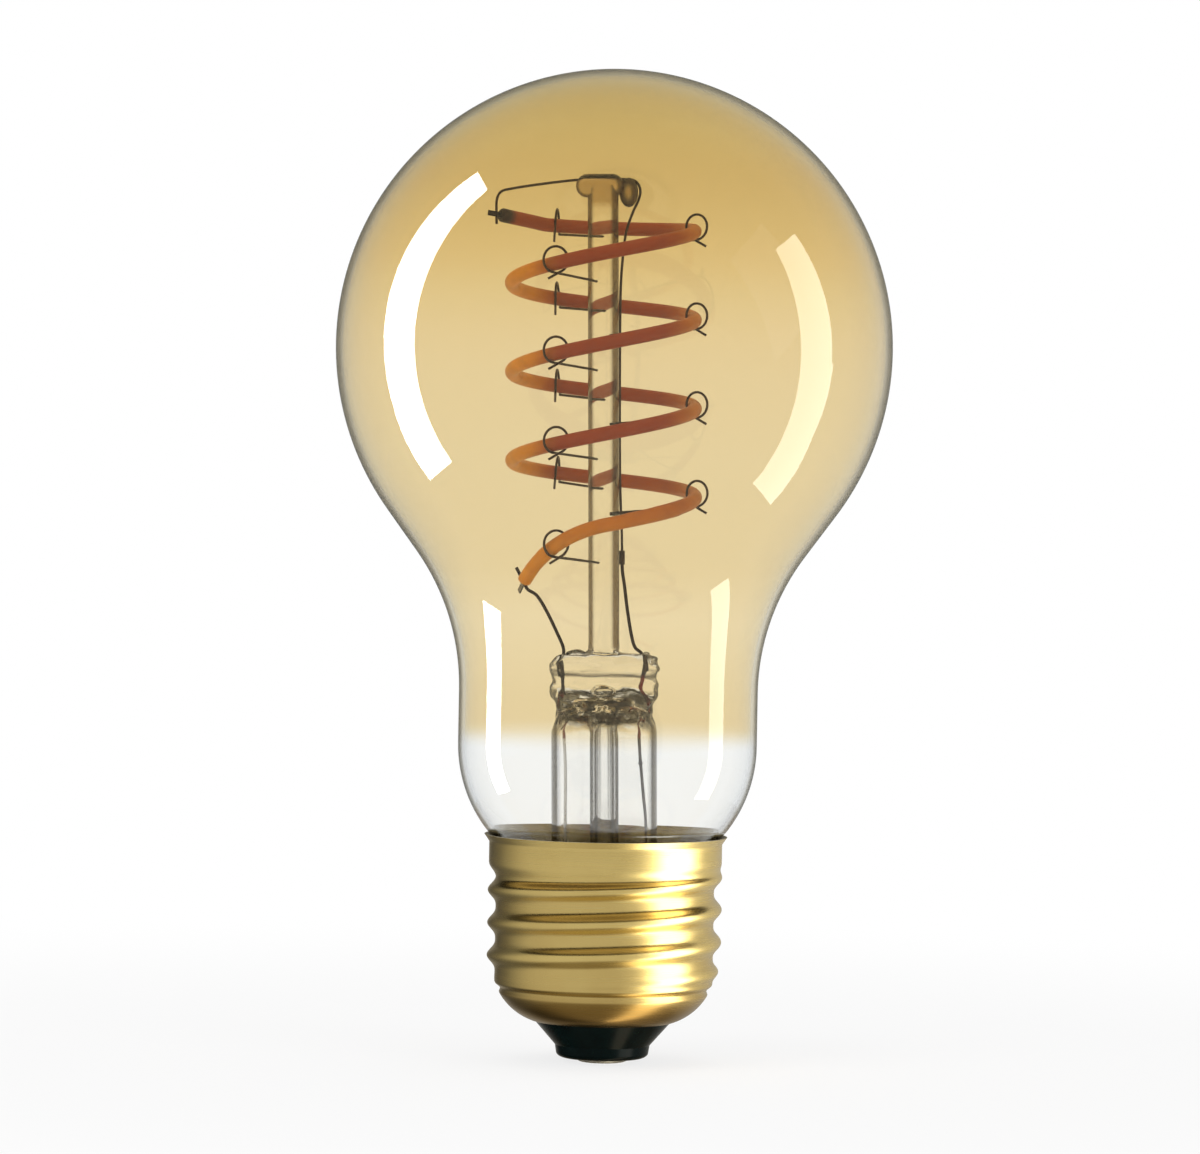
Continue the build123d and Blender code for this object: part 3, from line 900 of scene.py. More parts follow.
# rows of height, width and depth, with a soft change from one to the next
def blendRows(rows, steps):
    out = []
    for (z0, w0, d0), (z1, w1, d1) in zip(rows, rows[1:]):
        for i in range(steps):
            share = i / steps
            soft = easeStep(share)
            out.append((z0 + (z1 - z0) * share, w0 + (w1 - w0) * soft, d0 + (d1 - d0) * soft))
    out.append(rows[-1])
    return out


def stemRows():
    s = stemSizes
    width = 2 * s["tubeRadius"]
    rod = 2 * s["rodRadius"]
    slabWidth, slabDepth = s["flat"][1], s["flat"][2]
    topWidth = slabWidth - 2 * s["round"]
    rows = [(s["rodTop"] - i * s["rodRingStep"], rod, rod) for i in range(s["rodRings"])]
    fillet = [(z, rod * across, rod * deep) for z, across, deep in s["rodFillet"]]
    rows += blendRows(fillet, s["filletSteps"])
    shoulderHeight, shoulderShare, shoulderDepth = s["shoulder"]
    rows.append((shoulderHeight, topWidth * shoulderShare, shoulderDepth))
    for i in range(s["roundSteps"] + 1):
        turn = math.radians(90 - 90 * i / s["roundSteps"])
        drop = s["round"] * (1 - math.cos(turn))
        height = s["pressTop"] - s["round"] + s["round"] * math.sin(turn)
        rows.append((height, slabWidth - 2 * drop, slabDepth - drop))
    ridge = [(z, slabWidth, slabDepth + extra) for z, extra in s["cordRidge"]]
    rows += blendRows(ridge, s["ridgeSteps"])
    slab = [(s["slabBottom"], slabWidth, slabDepth), s["flat"], s["waist"], (s["pressBottom"], width, width)]
    rows += blendRows(slab, s["blendSteps"])
    curve = (s["footRadius"] - s["tubeRadius"]) / (1 - math.cos(math.radians(s["flareAngle"])))
    flareTop = stemFoot / mm + curve * math.sin(math.radians(s["flareAngle"]))
    tubeLength = s["pressBottom"] - flareTop
    tubeSteps = s["tubeSteps"]
    rows += [(s["pressBottom"] - i * tubeLength / tubeSteps, width, width) for i in range(1, tubeSteps)]
    middle = (s["tubeRadius"] + curve, flareTop)
    flare = arcOf(middle, curve, 180, s["flareAngle"], s["flareSteps"])
    flare += arcOf(middle, curve + s["wall"], 180 + s["flareAngle"], -s["flareAngle"], s["flareSteps"])
    rows += [(z, 2 * r, 2 * r) for r, z in flare]
    bore = width - 2 * s["wall"]
    rows += [(flareTop + i * tubeLength / tubeSteps, bore, bore) for i in range(1, tubeSteps)]
    rows += blendRows([(s["pressBottom"], bore, bore), s["hollowWaist"], s["hollowEnd"]], s["blendSteps"])
    return rows


def stemMesh():
    segments = stemSizes["segments"]
    rows = stemRows()
    rings = [[Vector((0, 0, rows[0][0] * mm))]]
    rings += [slotRing(z, width, depth, segments) for z, width, depth in rows]
    rings.append([Vector((0, 0, (rows[-1][0] + stemSizes["hollowTip"]) * mm))])
    return meshFromRings("stemGlass", rings)


# an egg shape, its middle and half sizes in millimetres
def ballMesh(name, middle, half, segments=48):
    rings = []
    count = segments // 2
    for i in range(count + 1):
        angle = math.pi * i / count
        rings.append(ringAt(math.sin(angle) if 0 < i < count else 0.0, math.cos(angle), segments))
    stretch = Matrix.Translation(Vector(middle) * mm) @ Matrix.Diagonal((*(h * mm for h in half), 1.0))
    mesh = meshFromRings(name, rings)
    mesh.transform(stretch)
    return mesh


def barrelMesh():
    b = buttonSizes
    outline = arcOf((b["right"], 0.0), b["radius"], 0, 90, b["arcSteps"])
    outline += arcOf((b["left"], 0.0), b["radius"], 90, 90, b["arcSteps"])
    rings = []
    for i, (x, r) in enumerate(outline):
        isEnd = i in (0, len(outline) - 1)
        rings.append(ringAt(0.0 if isEnd else r * mm, x * mm, b["segments"]))
    mesh = meshFromRings("buttonBarrel", rings)
    mesh.transform(Matrix.Translation((0, 0, b["height"] * mm)) @ Matrix.Rotation(math.radians(90), 4, "Y"))
    return mesh


def fuse(name, meshes):
    base = addObject(name, meshes[0])
    others = [addObject(mesh.name, mesh) for mesh in meshes[1:]]
    for other in others:
        join = base.modifiers.new("fuse", "BOOLEAN")
        join.operation = "UNION"
        join.solver = "EXACT"
        join.object = other
    solved = base.evaluated_get(bpy.context.evaluated_depsgraph_get())
    result = bpy.data.meshes.new_from_object(solved)
    for other in others + [base]:
        bpy.data.objects.remove(other)
    result.name = name
    return result


# the pinched glass is lumpy, the same way on every run
def ripple(mesh):
    s = stemSizes
    noise.seed_set(s["rippleSeed"])
    (low, lowFade), (high, highFade) = s["rippleLow"], s["rippleHigh"]
    for vert in mesh.vertices:
        z = vert.co.z / mm
        pinched = easeStep((z - low) / lowFade) * (1 - easeStep((z - high) / highFade))
        shift = noise.noise_vector(vert.co * s["rippleScale"]) * s["ripple"] * mm * pinched
        vert.co += Vector((shift.x, shift.y, shift.z * s["rippleUpright"]))


# a hollow in the glass, so its faces look inwards
def addBubble(mesh, middle, half, segments):
    bubble = ballMesh("blowBubble", middle, half, segments)
    bubble.flip_normals()
    both = bmesh.new()
    both.from_mesh(mesh)
    both.from_mesh(bubble)
    both.to_mesh(mesh)
    both.free()
    bpy.data.meshes.remove(bubble)


# painted shade: how dark a tube is painted, from facing the eye to edge-on
flareShadeStops = ((0.40, 0.0), (0.56, 1.0), (0.80, 1.0), (1.0, 0.7))
exhaustShadeStops = ((0.06, 0.0), (0.11, 0.5), (0.17, 1.0), (0.24, 1.0), (0.30, 0.15), (0.48, 0.15), (0.62, 0.8))
stemGlass = stemGlassFinish("stemGlass", flareShadeStops)
exhaustGlass = stemGlassFinish("exhaustGlass", exhaustShadeStops)
stemForms = [stemMesh(), barrelMesh(), ballMesh("buttonLobe", buttonSizes["lobe"], buttonSizes["lobeHalf"])]
for middle, half in stemSizes["lumps"]:
    stemForms.append(ballMesh("pressLump", middle, half, stemSizes["lumpSegments"]))
stemForm = fuse("stemGlass", stemForms)
ripple(stemForm)
markInside(stemForm, stemSizes["waist"][0] * mm)
addBubble(stemForm, *stemSizes["bubble"], stemSizes["bubbleSegments"])
stemForm.transform(stemLean)
smooth(stemForm, stemSizes["sharpAngle"])
stemPiece = addPiece("stemGlass", stemForm, stemGlass, ["stem_flare", "centre_rod"])
letLightThrough(stemPiece)

exhaustSizes = {
    "radius": 1.6,
    "wall": 0.78,
    "tip": 13.6,
    "top": 39.2,
    "lip": 0.3,
    "tipTurn": 80,
    "tipSteps": 10,
    "lipSteps": 4,
    "segments": 64,
}


def exhaustOutline():
    e = exhaustSizes
    inner = e["radius"] - e["wall"]
    low = e["tip"] + e["radius"]
    turn = e["tipTurn"]
    outline = [(0.0, e["tip"])] + arcOf((0.0, low), e["radius"], -turn, turn, e["tipSteps"])
    outline += arcOf((e["radius"] - e["lip"], e["top"] - e["lip"]), e["lip"], 0, 90, e["lipSteps"])
    outline += [(inner, e["top"])] + arcOf((0.0, low), inner, 0, -turn, e["tipSteps"])
    outline.append((0.0, low - inner))
    return outline


exhaustMesh = turnedMesh("exhaustTube", exhaustOutline(), exhaustSizes["segments"])
markInside(exhaustMesh, exhaustSizes["top"] * mm)
exhaustMesh.transform(stemLean)
exhaustTube = addPiece("exhaustTube", smooth(exhaustMesh), exhaustGlass, ["exhaust_tube"])
letLightThrough(exhaustTube)
print("stem fused:", len(stemForm.polygons), "faces")

# coiled filament

coilSizes = {
    "radius": 10.15,
    "top": 92.3,
    "pitch": 9.85,
    "topPitch": 5.0,
    "tiltDrop": 0.8,
    "firstTurn": -0.36,
    "lastTurn": 3.414,
    "tailLength": 6.4,
    "tailRise": 0.9,
    "dipTurn": 3.25,
    "dipDrop": 4.1,
    "strand": 0.78,
    "endStep": 0.12,
    "endShare": 0.86,
    "perTurn": 32,
}


def coilPoint(turn):
    c = coilSizes
    angle = 2 * math.pi * turn
    pitch = c["pitch"] if turn > 0 else c["topPitch"]
    sag = c["tiltDrop"] * (1 - math.cos(angle)) / 2
    dip = c["dipDrop"] * (max(turn - c["dipTurn"], 0.0) / (c["lastTurn"] - c["dipTurn"])) ** 2
    height = c["top"] - pitch * turn - sag - dip
    return Vector((c["radius"] * math.cos(angle), -c["radius"] * math.sin(angle), height))


def strandPoints():
    c = coilSizes
    turns = c["lastTurn"] - c["firstTurn"]
    steps = round(c["perTurn"] * turns)
    points = [coilPoint(c["firstTurn"] + turns * i / steps) for i in range(steps + 1)]
    first = 2 * math.pi * c["firstTurn"]
    tail = Vector((math.sin(first), math.cos(first), 0)) * c["tailLength"] + Vector((0, 0, c["tailRise"]))
    ends = [points[0] + tail * share for share in (1.0, 0.75, 0.5, 0.25)]
    return ends + points


tubeTree = makeTubeTree()
strand = strandPoints()
upperEnd, lowerEnd = strand[0], strand[-1]
upperWay = (strand[0] - strand[1]).normalized()
lowerWay = (strand[-1] - strand[-2]).normalized()


# a wire through these points, in the stem's own upright frame, with a bead at one height
def runWire(name, points, radius, finish, sides=14, step=0.15, endShare=1.0, bead=(None, 1.0)):
    beadHeight, beadShare = bead
    radii = [radius * mm * (beadShare if p[2] == beadHeight else 1.0) for p in points]
    radii[0] *= endShare
    radii[-1] *= endShare
    line = pathMesh(name, [stemLean @ (Vector(p) * mm) for p in points], radii)
    return runTree(name, line, tubeTree, {"Sides": sides, "Step": step * mm, "Finish": finish})


phosphor = filamentFinish(stemLean @ (upperEnd * mm))
strandRadius = coilSizes["strand"]
endStep = coilSizes["endStep"]
endShare = coilSizes["endShare"]
# a second point just inside each end keeps the rounding short
strandBody = [upperEnd - upperWay * endStep] + strand[1:-1] + [lowerEnd - lowerWay * endStep]
strandBody = [upperEnd] + strandBody + [lowerEnd]
filament = runWire("filament", strandBody, strandRadius, phosphor, sides=40, step=0.25, endShare=endShare)
dressPiece(filament, phosphor, ["filament"])
print("filament wound:", len(filament.data.polygons), "faces")

# hooks

hookSizes = {
    "count": 12,
    "perTurn": 3,
    "wire": 0.14,
    "loop": 1.42,
    "loopOut": 0.22,
    "restGap": 0.03,
    "stemAngle": 4.0,
    "advance": 0.5,
    "loopAngle": 335.0,
    "twist": -32.0,
    "tail": 1.7,
    "root": 0.5,
    "wobble": 0.05,
    "seed": 7,
    "slopeStep": 0.01,
    "loopSteps": 24,
    "sides": 12,
    "step": 0.16,
}


def hookSlope(turn):
    ahead = coilPoint(turn + hookSizes["slopeStep"])
    behind = coilPoint(turn - hookSizes["slopeStep"])
    return abs(ahead.z - behind.z) / math.hypot(ahead.x - behind.x, ahead.y - behind.y)


# how far the loop's middle stands above the strand that rests in it
def hookLift(turn):
    h = hookSizes
    slope = hookSlope(turn)
    rest = strandRadius * math.hypot(1, slope) + (h["advance"] / 2 + h["wire"]) * slope + h["restGap"]
    return h["loop"] - h["wire"] - rest


def hookPoints():
    h = hookSizes
    out = coilSizes["radius"] + h["loopOut"]
    stemTurn = math.radians(h["stemAngle"])
    loopTurn = math.radians(h["loopAngle"])
    loop = []
    for i in range(h["loopSteps"] + 1):
        share = i / h["loopSteps"]
        angle = stemTurn + loopTurn * share
        across = h["advance"] * (share - 0.5)
        spot = Vector((h["loop"] * math.sin(angle), across, -h["loop"] * math.cos(angle)))
        spot.rotate(Matrix.Rotation(math.radians(h["twist"]), 3, "Z"))
        loop.append(spot + Vector((out, 0, 0)))
    foot = Vector((h["root"], loop[0].y, loop[0].z - (loop[0].x - h["root"]) * math.tan(stemTurn)))
    stem = [loop[0].lerp(foot, share) for share in (1.0, 0.75, 0.5, 0.25, 0.06)]
    away = (loop[-1] - loop[-2]).normalized()
    tail = [loop[-1] + away * h["tail"] * share for share in (0.2, 0.6, 1.0)]
    return stem + loop + tail


def makeHooks(finish):
    h = hookSizes
    turns = [(i - 1) / h["perTurn"] for i in range(h["count"])]
    places = bpy.data.meshes.new("hookPlaces")
    places.from_pydata([Vector((0, 0, coilPoint(t).z + hookLift(t))) * mm for t in turns], [], [])
    angles = places.attributes.new("angle", "FLOAT", "POINT")
    angles.data.foreach_set("value", [-2 * math.pi * t for t in turns])
    points = [p * mm for p in hookPoints()]
    line = pathMesh("hookPattern", points, [h["wire"] * mm] * len(points))
    pattern = addObject("hookPattern", line)
    hooks = runTree("supportHooks", places, makeHookTree(), {
        "Hook": pattern,
        "Sides": h["sides"],
        "Step": h["step"] * mm,
        "Wobble": h["wobble"],
        "Seed": h["seed"],
        "Finish": finish,
    })
    bpy.data.objects.remove(pattern)
    hooks.data.transform(stemLean)
    return hooks


hookFinish = metalFinish("darkHookWire", (92, 78, 62), (44, 34, 26), scale=1500.0, rough=0.42)
supportHooks = makeHooks(hookFinish)
hookNodes = ["support_hook_{:02d}".format(i + 1) for i in range(hookSizes["count"])]
dressPiece(supportHooks, hookFinish, hookNodes)
print("hooks bent:", len(supportHooks.data.polygons), "faces")

# wires and leads

wireSizes = {
    "lead": 0.19,
    "upper": 0.15,
    "leftSeal": -4.6,
    "rightSeal": 4.4,
    "bead": (33.2, 1.9),  # height, and share of the wire
    "splice": (2.04, 0.74, 56.3),
    "weldReach": 0.5,  # how far past the strand's end a wire meets its tab
    "upperAside": 0.25,
    "lowerAside": 0.29,
}
leadFinish = metalFinish("leadWire", (74, 58, 44), (30, 22, 18), scale=1200.0, rough=0.4)
sealFinishes = {"Left": sealFinish("sealCopperLeft", 40.6), "Right": sealFinish("sealCopperRight", 44.0)}

upperSide = upperWay.cross(Vector((0, 0, 1))).normalized()
upperWeld = upperEnd + upperWay * wireSizes["weldReach"] + upperSide * wireSizes["upperAside"]
upperPoints = [
    wireSizes["splice"],
    (2.00, 0.84, 59.0),
    (1.84, 1.18, 64.0),
    (1.80, 1.22, 71.0),
    (1.84, 1.20, 79.0),
    (1.92, 1.06, 85.5),
    (2.16, 0.66, 89.2),
    (2.55, 0.40, 92.2),
    (3.30, 0.12, 94.4),
    (3.95, 0.0, 95.8),
    (4.12, 0.0, 96.9),
    (3.65, 0.0, 97.8),
    (2.60, 0.0, 98.06),
    (0.00, 0.0, 98.04),
    (-2.40, 0.0, 98.02),
    (-4.60, 0.35, 97.85),
    (-7.60, 1.55, 97.55),
    (upperWeld.x + 1.75, upperWeld.y - 0.55, 97.25),
    (upperWeld.x + 0.55, upperWeld.y - 0.12, 96.95),
    (upperWeld.x + 0.06, upperWeld.y, upperWeld.z + 1.7),
    (upperWeld.x, upperWeld.y, upperWeld.z + 0.3),
    (upperWeld.x + 0.03, upperWeld.y, upperWeld.z - 1.1),
]
upperWire = runWire("upperWire", upperPoints, wireSizes["upper"], hookFinish)
dressPiece(upperWire, hookFinish, ["upper_wire"])

lowerSide = lowerWay.cross(Vector((0, 0, 1))).normalized()
lowerWeld = lowerEnd + lowerWay * wireSizes["weldReach"] + lowerSide * wireSizes["lowerAside"]
lift = lowerSide.cross(lowerWay).normalized()
leftPoints = [
    (wireSizes["leftSeal"], 0, 43.3),
    (wireSizes["leftSeal"] + 0.03, 0, 44.8),
    (wireSizes["leftSeal"] + 0.10, -0.15, 46.1),
    (-5.25, -1.1, 48.0),
    (-6.35, -2.6, 50.4),
    (-7.35, -4.0, 52.1),
    lowerWeld - lift * 0.9,
    lowerWeld,
    lowerWeld + lift * 1.2,
    lowerWeld + lift * 2.3,
]
leftLead = runWire("innerLeadLeft", leftPoints, wireSizes["lead"], leadFinish)
dressPiece(leftLead, leadFinish, ["inner_lead_left"])

rightPoints = [
    (wireSizes["rightSeal"], 0, 43.3),
    (wireSizes["rightSeal"] - 0.02, 0, 44.9),
    (4.10, 0.04, 45.6),
    (3.45, 0.16, 46.2),
    (3.05, 0.30, 47.6),
    (2.62, 0.46, 50.4),
    (2.30, 0.64, 53.2),
    (2.08, 0.74, 54.8),
    wireSizes["splice"],
]
rightLead = runWire("innerLeadRight", rightPoints, wireSizes["lead"], leadFinish)
dressPiece(rightLead, leadFinish, ["inner_lead_right"])

# routes below the press, as (x, z)
outerRoutes = {
    "Left": ((-4.6, 11.2), (-4.5, 18.0), (-4.4, 26.0), (-4.35, 32.6), (-4.5, 36.0)),
    "Right": (
        (4.4, 11.2), (4.75, 18.0), (4.72, 26.0), (4.4, 29.6),
        (4.1, 32.9), (4.07, 33.2), (4.04, 33.5), (3.9, 36.0),
    ),
}
sealHeights = (36.0, 37.6, 39.4, 41.4, 43.3)
sealShifts = {"Left": (0.1, 0.05, 0.1, 0.15, 0.0), "Right": (-0.5, -0.3, 0.1, -0.25, 0.0)}
brightLead = metalFinish("tinnedLead", (214, 210, 200), (176, 170, 160), scale=1200.0, rough=0.3)
outerFinishes = {"Left": brightLead, "Right": leadFinish}
for side, seal in (("Left", wireSizes["leftSeal"]), ("Right", wireSizes["rightSeal"])):
    node = side.lower()
    lead = wireSizes["lead"]
    sealPoints = [(seal + shift, 0, z) for shift, z in zip(sealShifts[side], sealHeights)]
    sealWire = runWire("sealWire" + side, sealPoints, lead, sealFinishes[side])
    dressPiece(sealWire, sealFinishes[side], ["seal_wire_" + node])
    outerPoints = [(x, 0, z) for x, z in outerRoutes[side]]
    outerLead = runWire("outerLead" + side, outerPoints, lead, outerFinishes[side], bead=wireSizes["bead"])
    dressPiece(outerLead, outerFinishes[side], ["outer_lead_" + node])
print("wires run")

# pieces that keep their solid and only take a finish

boardFinish = plainFinish(
    "boardLaminate", (206, 212, 200), (176, 184, 170), scale=500.0, rough=0.5, bump=0.05
)
chipFinish = plainFinish("chipPlastic", (40, 40, 42), (22, 22, 24), scale=900.0, rough=0.55, bump=0.10)
fuseFinish = plainFinish("fuseCeramic", (120, 150, 132), (92, 120, 104), scale=800.0, rough=0.6, bump=0.10)
canFinish = metalFinish("capacitorCan", (206, 206, 210), (160, 160, 166), scale=700.0, rough=0.35)
tinnedFinish = metalFinish("tinnedWire", (150, 146, 138), (104, 98, 90), scale=1200.0, rough=0.35)
# painted shade: the cement is painted dark olive brown, for the shade inside the cap's rim
cementShadeFinish = plainFinish("cappingCement", (92, 76, 32), (60, 48, 20), scale=350.0, rough=0.7, bump=0.4)
keptFinishes = {
    "capping_cement": cementShadeFinish,
    "driver_board": boardFinish,
    "bridge_rectifier": chipFinish,
    "driver_chip": chipFinish,
    "fuse_resistor": fuseFinish,
    "smoothing_capacitor": canFinish,
    "live_wire": tinnedFinish,
    "neutral_wire": tinnedFinish,
    "filament_tab_upper": leadFinish,
    "filament_tab_lower": tinnedFinish,
    "lead_splice": leadFinish,
}
for node, finish in keptFinishes.items():
    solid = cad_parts[node]
    solid.data.materials.clear()
    solid.data.materials.append(finish)
print("kept solids finished:", len(keptFinishes))

# stage: white floor and background, cards that only the gloss sees, and soft lamps

stageSizes = {
    "floorHalf": 3.0,
    "floorDrop": 0.05 * mm,
    "floorTone": 0.96,
    "shadowReach": (0.05, 0.20),
    "floorGlow": 0.8,
    "ambient": 0.45,
    "sideReach": (-0.6, 0.6),
}
# tones that the gloss sees, from the front of the room to its back and from left to right
wallTones = (
    (0.0, (0.16, 0.155, 0.14)), (0.60, (0.16, 0.155, 0.14)), (0.80, (0.34, 0.335, 0.32)),
    (0.90, (0.55, 0.55, 0.53)), (0.95, (0.42, 0.42, 0.40)), (0.98, (0.22, 0.22, 0.20)),
)
sideTones = ((0.0, (0.65, 0.65, 0.65)), (1.0, (1.0, 1.0, 1.0)))


def seenRays(tree):
    rays = addNode(tree, "ShaderNodeLightPath").outputs
    seen = mathOf("MAXIMUM", rays["Is Camera Ray"], rays["Is Glossy Ray"])
    return mathOf("MAXIMUM", seen, rays["Is Transmission Ray"])


# refracted rays count as glossy too, so they are taken off here
def mirrorRays(tree):
    rays = addNode(tree, "ShaderNodeLightPath").outputs
    return mathOf("SUBTRACT", rays["Is Glossy Ray"], rays["Is Transmission Ray"])


def whiteWorld():
    world = bpy.data.worlds.new("studio")
    bpy.context.scene.world = world
    world.use_nodes = True
    tree = world.node_tree
    colour = mixed(seenRays(tree), (stageSizes["ambient"],) * 3, (1.0, 1.0, 1.0))
    way = addNode(tree, "ShaderNodeTexCoord").outputs["Generated"]
    depth = mathOf("MULTIPLY", mathOf("ADD", axisValue(way, "Y"), 1.0), 0.5)
    shade = rampOf(mapped(axisValue(way, "X"), *stageSizes["sideReach"]), sideTones)
    walls = mixed(1.0, rampOf(depth, wallTones), shade, "MULTIPLY")
    feed(tree.nodes["Background"], {"Color": mixed(mirrorRays(tree), colour, walls), "Strength": 1.0})


def cardMesh(name, corners):
    mesh = bpy.data.meshes.new(name)
    mesh.from_pydata(corners, [], [tuple(range(len(corners)))])
    return mesh


def emptyMaterial(thing, name):
    material = bpy.data.materials.new(name)
    material.use_nodes = True
    material.node_tree.nodes.clear()
    thing.data.materials.append(material)
    return material.node_tree


# some rays see the glow, the others the base
def blendShaders(tree, share, base, glow):
    blend = addNode(tree, "ShaderNodeMixShader", {0: share, 1: base.outputs[0], 2: glow.outputs[0]})
    addNode(tree, "ShaderNodeOutputMaterial", {0: blend.outputs[0]})


def addFloor():
    s = stageSizes
    half = s["floorHalf"]
    drop = -s["floorDrop"]
    corners = [(-half, -half, drop), (half, -half, drop), (half, half, drop), (-half, half, drop)]
    floor = addObject("floor", cardMesh("floor", corners))
    tree = emptyMaterial(floor, "paleFloor")
    matte = addNode(tree, "ShaderNodeBsdfDiffuse", {"Color": (s["floorTone"],) * 3})
    away = distanceOf(objectPosition(tree))
    fade = mapped(away, *s["shadowReach"], s["floorGlow"], 1.0)
    share = mathOf("MULTIPLY", seenRays(tree), fade)
    blendShaders(tree, share, matte, addNode(tree, "ShaderNodeEmission"))
    floor.visible_glossy = False


# upright cards beside the bulb at x = away, with their (y, z) corners:
# the far boxes give the strips on the neck, the near arcs those on the globe
whiteLight = {"strength": 20.0, "colour": (1.0, 1.0, 1.0)}
warmLight = {"strength": 7.0, "colour": (1.0, 0.95, 0.80)}
cardSizes = {
    "leftSoftbox": {
        "away": -400.0,
        "corners": ((-8.0, -175.0), (112.0, -175.0), (112.0, 60.0), (-8.0, 60.0)),
        **whiteLight,
    },
    "rightSoftbox": {
        "away": 400.0,
        "corners": ((-52.0, -300.0), (58.0, -300.0), (58.0, 60.0), (-52.0, 60.0)),
        **warmLight,
    },
    "leftArc": {
        "away": -35.0,
        "corners": (
            (-22.3, 53.4), (-22.3, 121.0), (-12.8, 122.5),
            (-14.6, 84.0), (-14.9, 72.0), (-12.5, 53.0),
        ),
        **whiteLight,
    },
    "rightArc": {
        "away": 35.0,
        "corners": (
            (-26.5, 101.0), (-25.8, 80.0), (-24.4, 53.0), (-23.1, 46.0),
            (-13.2, 45.0), (-17.7, 66.0), (-18.1, 80.0), (-18.8, 102.0),
        ),
        **warmLight,
    },
    "frontCard": {
        "away": 400.0,
        "corners": ((-308.0, 387.0), (-70.0, 430.0), (-33.0, 157.0), (-174.0, 48.0)),
        "strength": 0.55,
        "colour": (1.0, 0.90, 0.86),
    },
}

# a light tent round the cap
tentSizes = {
    "radius": 21.5,
    "low": -12.0,
    "top": 25.3,
    "hole": 13.7,
    "segments": 72,
    "roofTop": (0.24, 0.20, 0.15),
    "roofFrom": (0.992, 0.999),  # shares of the height
    "warmth": (1.0, 0.97, 0.90),
    # degrees from the camera's side towards +X, and how bright
    "tones": (
        (-180, 0.50), (-142, 0.45), (-118, 0.10), (-95, 0.20), (-80, 0.42), (-64, 0.66),
        (-40, 0.74), (12, 0.72), (24, 0.90), (34, 1.70), (44, 6.0), (66, 6.0),
        (75, 1.6), (84, 0.85), (120, 0.60), (142, 0.45), (180, 0.50),
    ),
    # share of the height, and how dim
    "shade": ((0.0, (0.42, 0.36, 0.26)), (0.02, (0.55, 0.50, 0.42)), (0.34, (1.0, 1.0, 1.0))),
    # the underside of the roof by its radius: dark, with a golden ring near its hole
    "roof": (
        (0.68, (0.08, 0.045, 0.02)), (0.71, (0.95, 0.76, 0.42)), (0.75, (0.95, 0.76, 0.42)),
        (0.80, (0.02, 0.012, 0.005)), (1.0, (0.02, 0.012, 0.005)),
    ),
}


def tentTone(tree):
    t = tentSizes
    place = objectPosition(tree)
    across, depth, height = (axisValue(place, axis) for axis in "XYZ")
    angle = mathOf("ARCTAN2", across, mathOf("MULTIPLY", depth, -1.0))
    turn = mathOf("ADD", mathOf("DIVIDE", angle, 2 * math.pi), 0.5)
    tones = [((degrees + 180) / 360, tuple(tone * w for w in t["warmth"])) for degrees, tone in t["tones"]]
    rise = mathOf("SUBTRACT", height, t["low"] * mm)
    level = mathOf("DIVIDE", rise, (t["top"] - t["low"]) * mm)
    reach = mathOf("DIVIDE", axisDistance(place), t["radius"] * mm)
    isRoof = mapped(level, *t["roofFrom"])
    shade = mixed(isRoof, rampOf(level, t["shade"]), rampOf(reach, t["roof"]))
    lit = mixed(1.0, rampOf(turn, tones), shade, "MULTIPLY")
    # the neck mirrors the upper side, which is one tone all round
    below = addNode(tree, "ShaderNodeNewGeometry").outputs["Backfacing"]
    return mixed(mathOf("SUBTRACT", isRoof, below), lit, t["roofTop"])


def tentMesh():
    t = tentSizes
    outline = [(t["hole"], t["top"]), (t["radius"], t["top"]), (t["radius"], t["low"]), (0.0, t["low"])]
    return turnedMesh("capTent", outline, t["segments"])


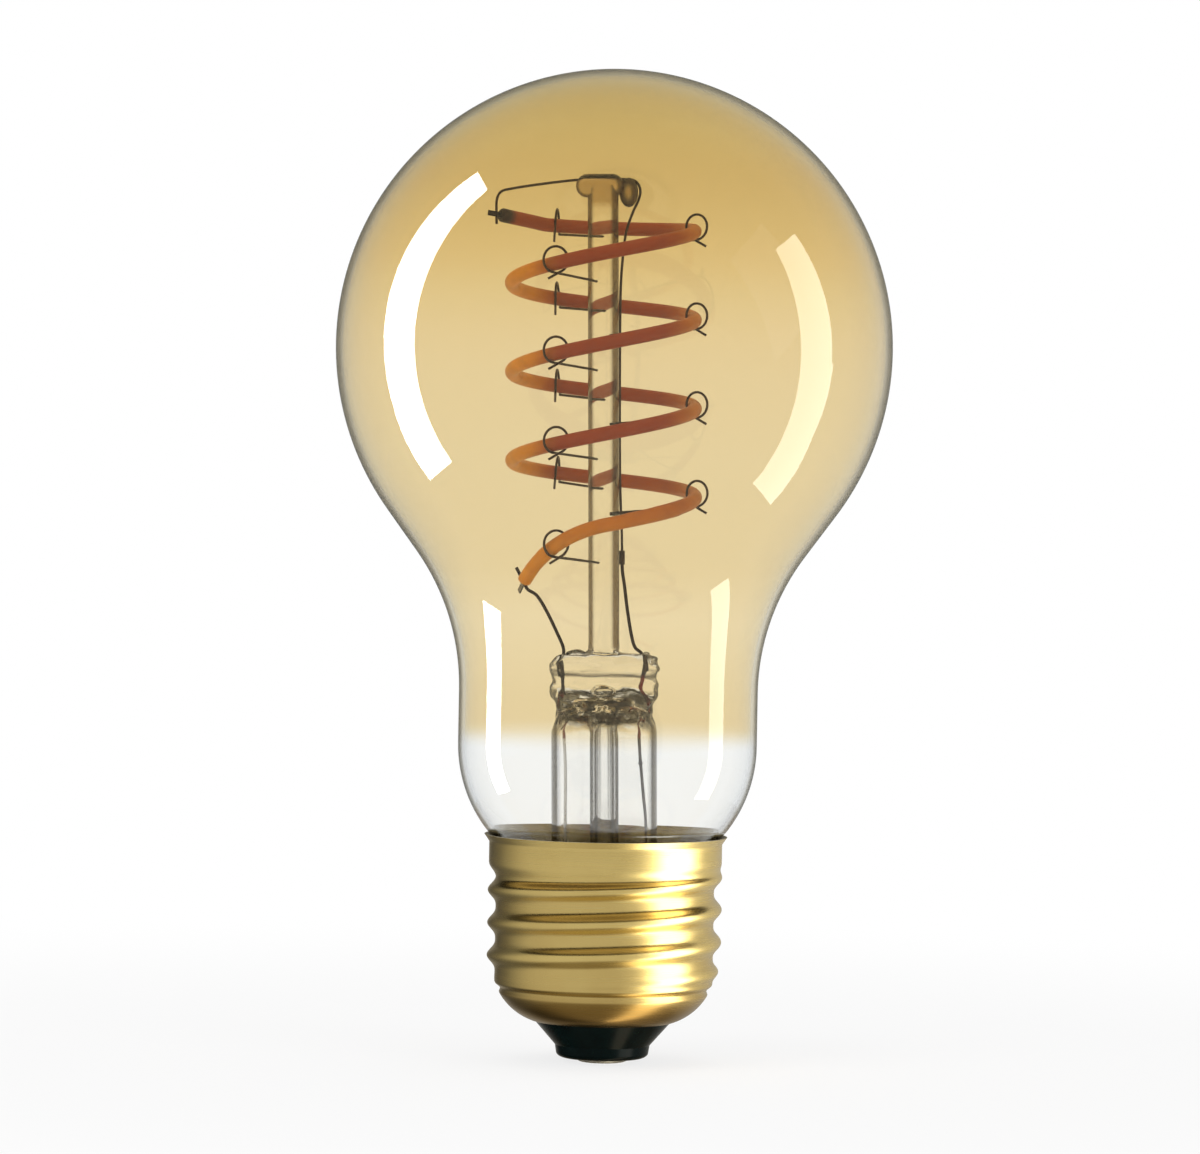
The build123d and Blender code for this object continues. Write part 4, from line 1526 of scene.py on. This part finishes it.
# the tone, where there is one, makes the colour out of nodes
def addCard(name, mesh, strength, colour=None, tone=None):
    card = addObject(name, mesh)
    tree = emptyMaterial(card, name)
    glow = addNode(tree, "ShaderNodeEmission", {"Strength": strength, "Color": colour or tone(tree)})
    blendShaders(tree, mirrorRays(tree), addNode(tree, "ShaderNodeBsdfTransparent"), glow)
    card.visible_camera = False
    card.visible_diffuse = False
    card.visible_shadow = False


lampTarget = (0.0, 0.0, 0.06)
lampSizes = {
    "keyLamp": {"place": (-0.7, -0.6, 0.8), "size": 0.6, "power": 3.0},
    "fillLamp": {"place": (0.8, -0.7, 0.5), "size": 0.6, "power": 1.6},
    "topLamp": {"place": (0.0, 0.1, 1.1), "size": 0.8, "power": 2.6},
}


def addLamp(name, place, size, power):
    data = bpy.data.lights.new(name, "AREA")
    data.shape = "RECTANGLE"
    data.size = size
    data.size_y = size
    data.energy = power
    lamp = addObject(name, data)
    lamp.location = place
    lamp.rotation_euler = (Vector(lampTarget) - Vector(place)).to_track_quat("-Z", "Y").to_euler()
    lamp.visible_glossy = False
    lamp.visible_transmission = False
    lamp.visible_camera = False


whiteWorld()
addFloor()
for name, card in cardSizes.items():
    corners = [Vector((card["away"], y, z)) * mm for y, z in card["corners"]]
    addCard(name, cardMesh(name, corners), card["strength"], card["colour"])
addCard("capTent", tentMesh(), 1.0, tone=tentTone)
for name, lamp in lampSizes.items():
    addLamp(name, **lamp)

# camera at the photo's angle

cameraSizes = {
    "aim": (-1.15, 0.0, 53.9),
    "distance": 600.0,
    "pitch": 1.0,
    "roll": 1.0,
    "lens": 162.0,
    "sensor": 36.0,
}


def addCamera():
    c = cameraSizes
    data = bpy.data.cameras.new("camera")
    data.lens = c["lens"]
    data.sensor_width = c["sensor"]
    camera = addObject("camera", data)
    aim = Vector(c["aim"]) * mm
    pitch = math.radians(c["pitch"])
    back = Vector((0, -math.cos(pitch), math.sin(pitch)))
    look = (-back).to_track_quat("-Z", "Y").to_matrix().to_4x4()
    roll = Matrix.Rotation(math.radians(c["roll"]), 4, "Z")
    camera.matrix_world = Matrix.Translation(aim + back * c["distance"] * mm) @ look @ roll
    bpy.context.scene.camera = camera


addCamera()
scene = bpy.context.scene
scene.view_settings.view_transform = "Standard"
scene.cycles.max_bounces = 32
scene.cycles.transmission_bounces = 28
print("stage and camera set")
